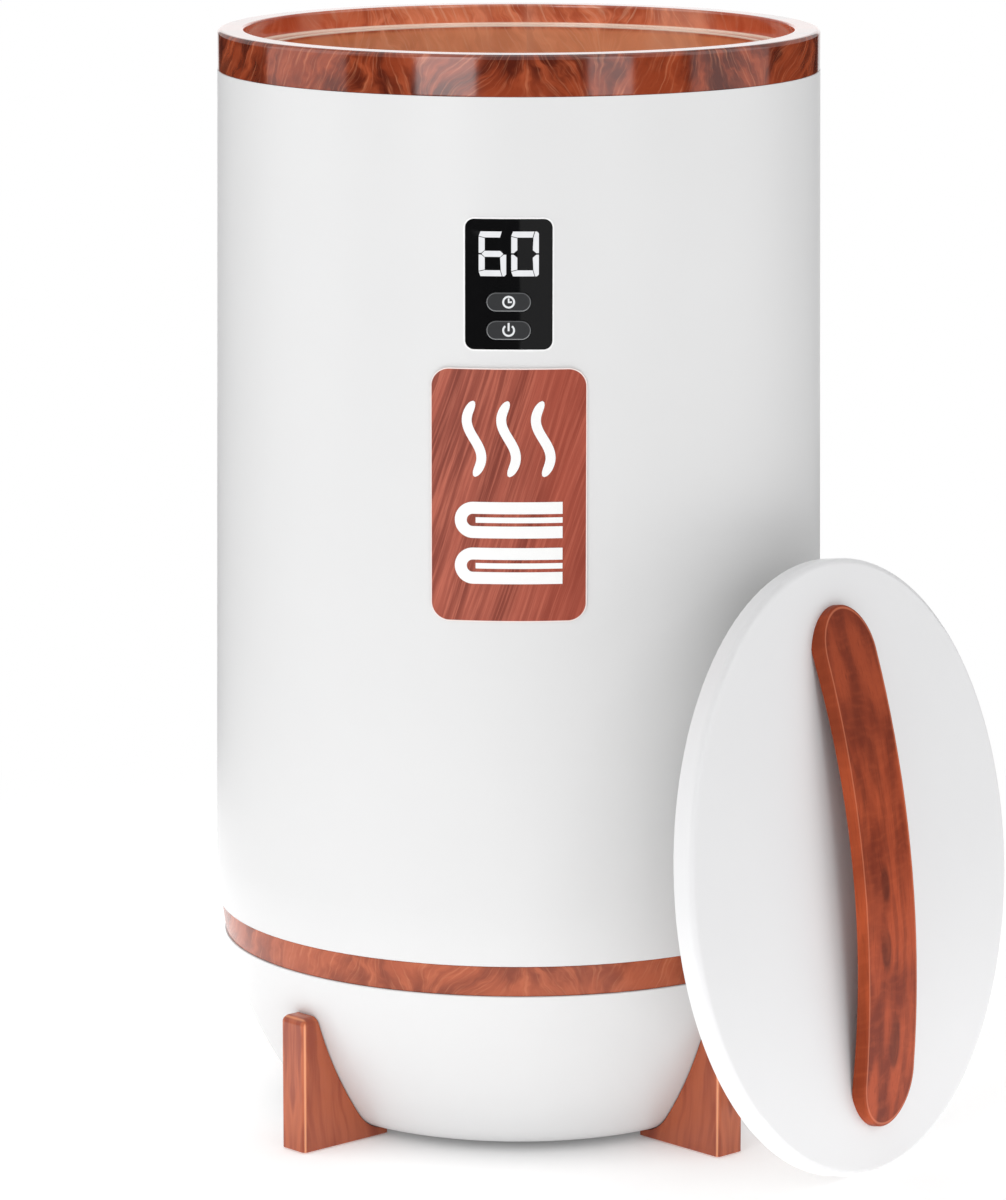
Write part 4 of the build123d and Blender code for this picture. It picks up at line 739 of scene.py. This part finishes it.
def turned_ring_tree():
    """The trim ring, turned from its section: a rim with a recess inside it, a skirt, and a spigot below."""
    lengths = (
        "Outer", "Rim", "Ledge", "Spigot", "Wall", "Top", "Height", "Recess", "Skirt", "Reach",
        "Outer_Round", "Inner_Round", "Edge",
    )
    tree = Tree("Turned ring", lengths, Steps="Int")
    outer, rim, shelf, spigot, wall, top, height, recess, depth, reach, outer_round, inner_round, edge = (
        tree.value(key) for key in lengths
    )
    mouth = outer - rim
    skirt = mouth - shelf
    foot = top - height
    ledge = top - recess
    hem, under = ledge - depth, ledge - wall
    back, tip = spigot - wall, foot - reach
    near, inner_near, close = outer_round * 1.2, inner_round * 1.2, edge * 1.5
    # The corners of the section, each with its distance from the axis, its level and its radius
    section = (
        (spigot, foot, 0.0), (outer - close, foot, 0.0), (outer, foot, edge),
        (outer, foot + close, 0.0), (outer, top - near, 0.0), (outer, top, outer_round),
        (outer - near, top, 0.0), (mouth + inner_near, top, 0.0), (mouth, top, inner_round),
        (mouth, top - inner_near, 0.0), (mouth, ledge + close, 0.0), (mouth, ledge, edge),
        (mouth - close, ledge, 0.0), (skirt + close, ledge, 0.0), (skirt, ledge, edge),
        (skirt, ledge - close, 0.0), (skirt, hem, 0.0), (skirt + wall, hem, 0.0),
        (skirt + wall, under, 0.0), (mouth + wall, under, 0.0), (mouth + wall, top - wall, 0.0),
        (back, top - wall, 0.0), (back, tip, 0.0), (spigot, tip, 0.0),
    )
    index = tree.node("GeometryNodeInputIndex")

    def pick(column):
        switch = tree.nodes.new("GeometryNodeIndexSwitch")
        switch.data_type = "FLOAT"
        while len(switch.index_switch_items) < len(section):
            switch.index_switch_items.new()
        tree.put(switch.inputs["Index"], index)
        for socket, corner in zip(switch.inputs[1:], section):
            tree.put(socket, corner[column])
        return Wire(tree, switch.outputs[0])

    dots = tree.node("GeometryNodeMeshLine", count=len(section))
    corners = tree.node("GeometryNodeMeshToCurve", mesh=dots)
    spot = tree.join(pick(0) - outer, 0.0 - pick(1), 0.0)
    placed = tree.node("GeometryNodeSetPosition", geometry=corners, position=spot)
    closed = tree.node("GeometryNodeSetSplineCyclic", geometry=placed, cyclic=True)
    rounded = tree.node("GeometryNodeFilletCurve", {"mode": "POLY"}, curve=closed, radius=pick(2), count=6)
    path = tree.node(
        "GeometryNodeCurvePrimitiveCircle", {"mode": "RADIUS"}, resolution=tree.value("Steps"), radius=outer
    )
    upright = tree.node("GeometryNodeSetCurveNormal", {"mode": "Z_UP"}, curve=path)
    turned = tree.node("GeometryNodeCurveToMesh", curve=upright, profile_curve=rounded)
    bend = tree.node("GeometryNodeInputMeshEdgeAngle", output="Unsigned Angle")
    sharp = tree.maths("GREATER_THAN", bend, radians(28))
    outward = tree.node("GeometryNodeFlipFaces", mesh=turned)
    soft = tree.node("GeometryNodeSetShadeSmooth", geometry=outward, shade_smooth=True)
    return tree.close(tree.node(
        "GeometryNodeSetShadeSmooth", {"domain": "EDGE"}, geometry=soft, selection=sharp, shade_smooth=False
    ))


# Sizes and colours that a user can change


def length_setting(name, description, default):
    """A length that a user can change."""
    return FloatProperty(name=name, description=description, default=default, unit="LENGTH")


def brightness_setting(name, description):
    """How bright some lamps are, as a share of what they give here."""
    return FloatProperty(name=name, description=description, default=1.0, min=0)


class WarmerLooks(bpy.types.PropertyGroup):
    """Colours of the main surfaces."""

    white: FloatVectorProperty(
        name="White", description="Colour of the white plastic", subtype="COLOR_GAMMA",
        default=(0.88, 0.88, 0.881), size=3, min=0.0, max=1.0,
    )


class WarmerPlaque(bpy.types.PropertyGroup):
    """Sizes of the plaque's edge line and picture."""

    corner: length_setting("Corner", "Radius of the plaque's corners", 8.8 * mm)
    line: length_setting("Edge line", "Width of the pale line round the plaque", 0.5 * mm)
    thickness: length_setting("Picture thickness", "How far the picture stands off the plaque", 0.12 * mm)


class WarmerPanel(bpy.types.PropertyGroup):
    """Sizes of the panel's rim and symbols."""

    rim: length_setting("Rim", "Width of the pale rim round the panel", 0.8 * mm)
    rim_rise: length_setting("Rim rise", "How far the rim stands off the wall", 0.28 * mm)
    symbol_radius: length_setting("Symbol radius", "Outer radius of the key symbols", 2.95 * mm)
    symbol_line: length_setting("Symbol line", "Width of the key symbols' lines", 0.9 * mm)
    print_thickness: length_setting("Print thickness", "Thickness of the printed symbols", 0.06 * mm)


class WarmerRing(bpy.types.PropertyGroup):
    """Rounds of the trim ring."""

    outer_round: length_setting("Outer round", "Radius of the rim's outer edge", 2.0 * mm)
    inner_round: length_setting("Inner round", "Radius of the rim's inner edge", 1.2 * mm)
    steps: IntProperty(
        name="Steps", description="Number of steps round the ring", default=360, min=32, max=1440
    )


class WarmerStudio(bpy.types.PropertyGroup):
    """Levels of the lamps."""

    front: brightness_setting("Front boxes", "Brightness of the front boxes")
    side: brightness_setting("Side boxes", "Brightness of the side boxes")
    top: brightness_setting("Top box", "Brightness of the top box")
    back: brightness_setting("Back box", "Brightness of the back box")


# Pieces


class WARMER_OT_finishes(bpy.types.Operator):
    """Give every CAD node the procedural finish of its material slot"""

    bl_idname = "warmer.finishes"
    bl_label = "Finishes"

    def execute(self, context):
        finishes = slot_finishes(context.scene.warmer_looks)
        for part in frame["record"]["subparts"]:
            node = frame["nodes"][part["node"]]
            node.data.materials.clear()
            node.data.materials.append(finishes.get(part["node"]) or finishes[part["material_slot"]])
        return {"FINISHED"}


def key_bend(box):
    """Places a point of a key's symbol on the key's face."""
    low, high = box
    centre = (low + high) / 2

    def bend(x, z, lift):
        return Vector((centre.x + x, low.y - lift, centre.z + z))

    return bend


def print_white(name, colour):
    """Screen-printed white ink, slightly uneven."""
    finish = Finish(name, specular_ior_level=0.4)
    place = finish.spot()
    tone = finish.noise(place, 2.2, 3.0)
    low = dimmed(colour, 0.93)
    return finish.surface(
        Base_Color=finish.mix(tone, low, colour), Roughness=0.42 + 0.1 * tone, Normal=finish.bump(tone, 0.004)
    )


class WARMER_OT_key_symbols(bpy.types.Operator):
    """Print a clock on the timer key and a power sign on the power key"""

    bl_idname = "warmer.key_symbols"
    bl_label = "Key symbols"

    def execute(self, context):
        sizes = context.scene.warmer_panel
        outer, line = sizes.symbol_radius, sizes.symbol_line
        inner = outer - line
        ink = print_white("Key ink", tint(226, 228, 230))
        clock = [
            arc_strip((0, 0), inner, outer, 0, 360),
            bar_strip((0, -line / 2), (0, inner * 0.86), line * 0.85),
            bar_strip((line * 0.42, 0), (inner * 0.72, 0), line * 0.85),
        ]
        power = [
            arc_strip((0, 0), inner, outer, 128, 412),
            bar_strip((0, -line * 0.4), (0, outer + line * 0.55), line),
        ]
        for name, node, body, strips in (
            ("timer_symbol", "timer_button", "timer_key", clock),
            ("power_symbol", "power_button", "power_key", power),
        ):
            mesh = plate_mesh(name, strips, sizes.print_thickness, key_bend(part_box(node)))
            keep(name, mesh, ink, body)
        return {"FINISHED"}


class WARMER_OT_trim_ring(bpy.types.Operator):
    """Turn the trim ring finely from its section, in place of the CAD node"""

    bl_idname = "warmer.trim_ring"
    bl_label = "Trim ring"

    def execute(self, context):
        sizes = context.scene.warmer_ring
        film = frame["nodes"]["top_trim_ring"].data.materials[0]
        mesh = turned_ring_tree().mesh(
            "trim_ring",
            Outer=ring_high.x, Rim=12.5 * mm, Ledge=8.5 * mm, Spigot=142.4 * mm, Wall=2.5 * mm,
            Top=ring_high.z, Height=ring_high.z - wall_top_level, Recess=9.7 * mm, Skirt=22 * mm,
            Reach=9.5 * mm, Outer_Round=sizes.outer_round, Inner_Round=sizes.inner_round,
            Edge=0.4 * mm, Steps=sizes.steps, Material=film,
        )
        ring = keep("trim_ring", mesh, film, "body")
        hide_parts("top_trim_ring")
        return {"FINISHED"}


class WARMER_OT_panel_rim(bpy.types.Operator):
    """Run a thin pale rim round the black panel, following the wall; its pale colour is a painted highlight on
    a real raised lip
    """

    bl_idname = "warmer.panel_rim"
    bl_label = "Panel rim"

    def execute(self, context):
        sizes = context.scene.warmer_panel
        size, sink = fascia_high - fascia_low, 0.1 * mm
        # Painted highlight: the rim is paler than the shell, standing for the light on the lip round the panel.
        rim = moulded_plastic("Panel rim", tint(246, 246, 246), 0.22, 0.004)
        mesh = wall_line_tree().mesh(
            "panel_rim",
            Width=size.x + sizes.rim + sink, Height=size.z + sizes.rim + sink,
            Corner=fascia_corner + sizes.rim / 2, Level=(fascia_low.z + fascia_high.z) / 2,
            Line=sizes.rim, Rise=sizes.rim_rise, Sink=sink, Material=rim,
        )
        keep("panel_rim", mesh, rim, "body")
        return {"FINISHED"}


def plaque_bend(x, z, lift):
    """Places a point of the picture on the plaque's face."""
    level = (plaque_low.z + plaque_high.z) / 2 + z
    radius = wall_radius(level) + plaque_stand_off + lift
    return Vector((x, -sqrt(radius * radius - x * x), level))


class WARMER_OT_plaque_picture(bpy.types.Operator):
    """Print a plain picture of two folded towels under rising warmth on the plaque"""

    bl_idname = "warmer.plaque_picture"
    bl_label = "Plaque picture"

    def execute(self, context):
        sizes = context.scene.warmer_plaque
        ink = print_white("Plaque ink", tint(246, 246, 245))
        strips = []
        for level in (-33.0 * mm, -11.5 * mm):
            strips += folded_towel(level)
        for offset in (-16.0 * mm, 0.0, 16.0 * mm):
            strips.append(warm_wave(offset))
        mesh = plate_mesh("plaque_picture", strips, sizes.thickness, plaque_bend)
        keep("plaque_picture", mesh, ink, "body")
        return {"FINISHED"}


def folded_towel(level):
    """A folded towel from its end: a bold bent band round a bar, as strips."""
    right, fold, line, steps = 25 * mm, 8.5 * mm, 5.6 * mm, 14
    left = fold - right
    run = [left + (right - left) * i / steps for i in range(1, steps + 1)]
    band = [((x, level + fold - line), (x, level + fold)) for x in reversed(run)]
    band += arc_strip((left, level), fold - line, fold, 90, 270, 24)
    band += [((x, level - fold + line), (x, level - fold)) for x in run]
    return [band, bar_strip((left + 1.2 * mm, level), (right, level), 2.6 * mm, steps)]


def warm_wave(offset):
    """One rising wave with rounded ends, as a strip."""
    line, low, high, swing, steps = 4.6 * mm, 9 * mm, 44 * mm, 3.4 * mm, 40
    pairs = []
    for i in range(steps + 1):
        share = i / steps
        turn = share * 2 * pi
        middle = Vector((offset + swing * sin(turn), low + (high - low) * share))
        slope = swing * 2 * pi / (high - low) * cos(turn)
        half = line / 2 * min(1.0, sqrt(max(0.05, 1 - (2 * share - 1) ** 8)))
        aside = Vector((1, -slope)).normalized() * half
        pairs.append((tuple(middle - aside), tuple(middle + aside)))
    return pairs


# Studio


def softbox(name, azimuth, distance, level, width, height, glow):
    """A rectangular lamp that faces the warmer's axis. Its azimuth is in degrees from the front."""
    lamp = bpy.data.lights.new(name, "AREA")
    lamp.shape = "RECTANGLE"
    lamp.size, lamp.size_y = width, height
    lamp.energy = glow * width * height * pi
    box = bpy.data.objects.new(name, lamp)
    angle = radians(azimuth)
    box.location = (distance * sin(angle), -distance * cos(angle), level)
    aim = Vector((0, 0, level)) - box.location
    box.rotation_euler = aim.to_track_quat("-Z", "Y").to_euler()
    box.visible_camera = False
    bpy.context.scene.collection.objects.link(box)
    return box


class WARMER_OT_studio(bpy.types.Operator):
    """Set up the floor, the lamps, the white world and the camera"""

    bl_idname = "warmer.studio"
    bl_label = "Studio"

    def execute(self, context):
        levels = context.scene.warmer_studio
        scene = context.scene
        half = 20
        corners = [(-half, -half, 0), (half, -half, 0), (half, half, 0), (-half, half, 0)]
        mesh = bpy.data.meshes.new("floor")
        mesh.from_pydata(corners, [], [(0, 1, 2, 3)])
        floor = bpy.data.objects.new("floor", mesh)
        scene.collection.objects.link(floor)
        mesh.materials.append(floor_finish())

        # Azimuth, distance, level of the middle, width, height and glow
        for name, *values in (
            ("side_left", -83, 1.15, 0.95, 0.85, 1.6, 0.74 * levels.side),
            ("side_right", 86, 1.15, 0.95, 0.83, 1.6, 0.59 * levels.side),
            ("front_left", -24.5, 1.6, 1.09, 0.62, 1.53, 2.57 * levels.front),
            ("front_right", 35, 1.6, 1.09, 0.465, 1.53, 1.46 * levels.front),
            ("front_low", 8, 1.5, 0.19, 0.31, 0.3, 0.32 * levels.front),
        ):
            softbox(name, *values)
        # The back lamp's outer parts would show in the ring's ends, so only its middle is reflected
        for name, aside, width in (
            ("back", 0.0, 1.3), ("back_left", -1.125, 0.95), ("back_right", 1.125, 0.95),
        ):
            part = softbox(name, 180, 1.9, 0.85, width, 1.65, 0.9 * levels.back)
            part.location.x += aside
            part.visible_glossy = aside == 0.0
        top = softbox("top", 180, 0.02, 2.0, 1.6, 1.6, 0.5 * levels.top)
        top.rotation_euler = (0, 0, 0)

        world = bpy.data.worlds.new("Studio")
        world.use_nodes = True
        world.node_tree.nodes.clear()
        scene.world = world
        sky = Writer(world.node_tree)
        fill, seen = (
            sky.node("ShaderNodeBackground", color=(1, 1, 1, 1), strength=level) for level in (0.47, 1.0)
        )
        direct = sky.node("ShaderNodeLightPath", output="Is Camera Ray")
        output = sky.nodes.new("ShaderNodeOutputWorld")
        sky.put(output.inputs["Surface"], sky.blend("ShaderNodeMixShader", fill, seen, direct))

        camera = bpy.data.cameras.new("Camera")
        camera.lens = 170.58
        camera.sensor_width = 36.0
        view = bpy.data.objects.new("Camera", camera)
        heading, pitch = radians(1.97), 0.1878
        ahead = Vector((-sin(heading) * cos(pitch), cos(heading) * cos(pitch), -sin(pitch)))
        view.location = (0.0866, -2.7401, 0.77196)
        view.rotation_euler = ahead.to_track_quat("-Z", "Y").to_euler()
        scene.collection.objects.link(view)
        scene.camera = view
        camera.clip_start, camera.clip_end = 0.05, 100.0
        scene.view_settings.view_transform = "Standard"
        return {"FINISHED"}


def floor_finish():
    """White floor that keeps the object's shadow and throws light up near it.

    It's plain white far off, and dark there to reflections.
    """
    finish = Finish("Floor", shader="ShaderNodeMixShader")
    direct, glossy = (
        finish.node("ShaderNodeLightPath", output=kind) for kind in ("Is Camera Ray", "Is Glossy Ray")
    )
    x, y, _ = finish.split(finish.spot())
    away = finish.distance(x, y)
    lit = finish.node("ShaderNodeBsdfDiffuse", color=(0.8, 0.8, 0.8, 1.0))
    thrown = 0.5 * finish.ramp(away, 62.0, 150.0) + 0.43 * finish.ramp(away, 150.0, 300.0)
    thrown = thrown * (1.0 - 0.6 * finish.ramp(away, 550.0, 1100.0))
    glow = thrown + direct * (0.39 * finish.ramp(away, 62.0, 150.0) - thrown)
    lift = finish.node("ShaderNodeEmission", color=finish.join(glow, glow, glow), strength=1.0)
    white = finish.node("ShaderNodeEmission", color=(1.0, 1.0, 1.0, 1.0), strength=1.0)
    dark = finish.node("ShaderNodeBsdfDiffuse", color=(0.03, 0.03, 0.03, 1.0))
    near = finish.blend("ShaderNodeAddShader", lit, lift)
    seen = finish.blend("ShaderNodeMixShader", near, white, finish.ramp(away, 380.0, 800.0))
    other = finish.blend("ShaderNodeMixShader", near, dark, finish.ramp(away, 600.0, 1000.0) * glossy)
    for socket, value in zip(finish.shader.inputs, (direct, other, seen)):
        finish.put(socket, value)
    return finish.material


class WARMER_PT_sidebar(bpy.types.Panel):
    """Lists the pieces and the values that can be changed"""

    bl_idname = "WARMER_PT_sidebar"
    bl_label = "Towel Warmer"
    bl_space_type = "VIEW_3D"
    bl_region_type = "UI"
    bl_category = "Warmer"

    def draw(self, context):
        layout = self.layout
        for group, values in (
            ("warmer_looks", ("white",)),
            ("warmer_ring", ("outer_round", "inner_round", "steps")),
            ("warmer_plaque", ("corner", "line", "thickness")),
            ("warmer_panel", ("rim", "rim_rise", "symbol_radius", "symbol_line", "print_thickness")),
            ("warmer_studio", ("front", "side", "top", "back")),
        ):
            box = layout.box()
            for value in values:
                box.prop(getattr(context.scene, group), value)
        for operator in operators:
            layout.operator(operator.bl_idname)


groups = {
    "warmer_looks": WarmerLooks,
    "warmer_ring": WarmerRing,
    "warmer_plaque": WarmerPlaque,
    "warmer_panel": WarmerPanel,
    "warmer_studio": WarmerStudio,
}
operators = (
    WARMER_OT_finishes,
    WARMER_OT_trim_ring,
    WARMER_OT_key_symbols,
    WARMER_OT_panel_rim,
    WARMER_OT_plaque_picture,
    WARMER_OT_studio,
)


def register():
    for name, group in groups.items():
        bpy.utils.register_class(group)
        setattr(bpy.types.Scene, name, bpy.props.PointerProperty(type=group))
    for operator in operators:
        bpy.utils.register_class(operator)
    bpy.utils.register_class(WARMER_PT_sidebar)


def unregister():
    bpy.utils.unregister_class(WARMER_PT_sidebar)
    for operator in reversed(operators):
        bpy.utils.unregister_class(operator)
    for name, group in groups.items():
        delattr(bpy.types.Scene, name)
        bpy.utils.unregister_class(group)


def main():
    register()
    bpy.ops.warmer.finishes()
    bpy.ops.warmer.trim_ring()
    bpy.ops.warmer.key_symbols()
    bpy.ops.warmer.panel_rim()
    bpy.ops.warmer.plaque_picture()
    bpy.ops.warmer.studio()


if __name__ == "__main__":
    main()
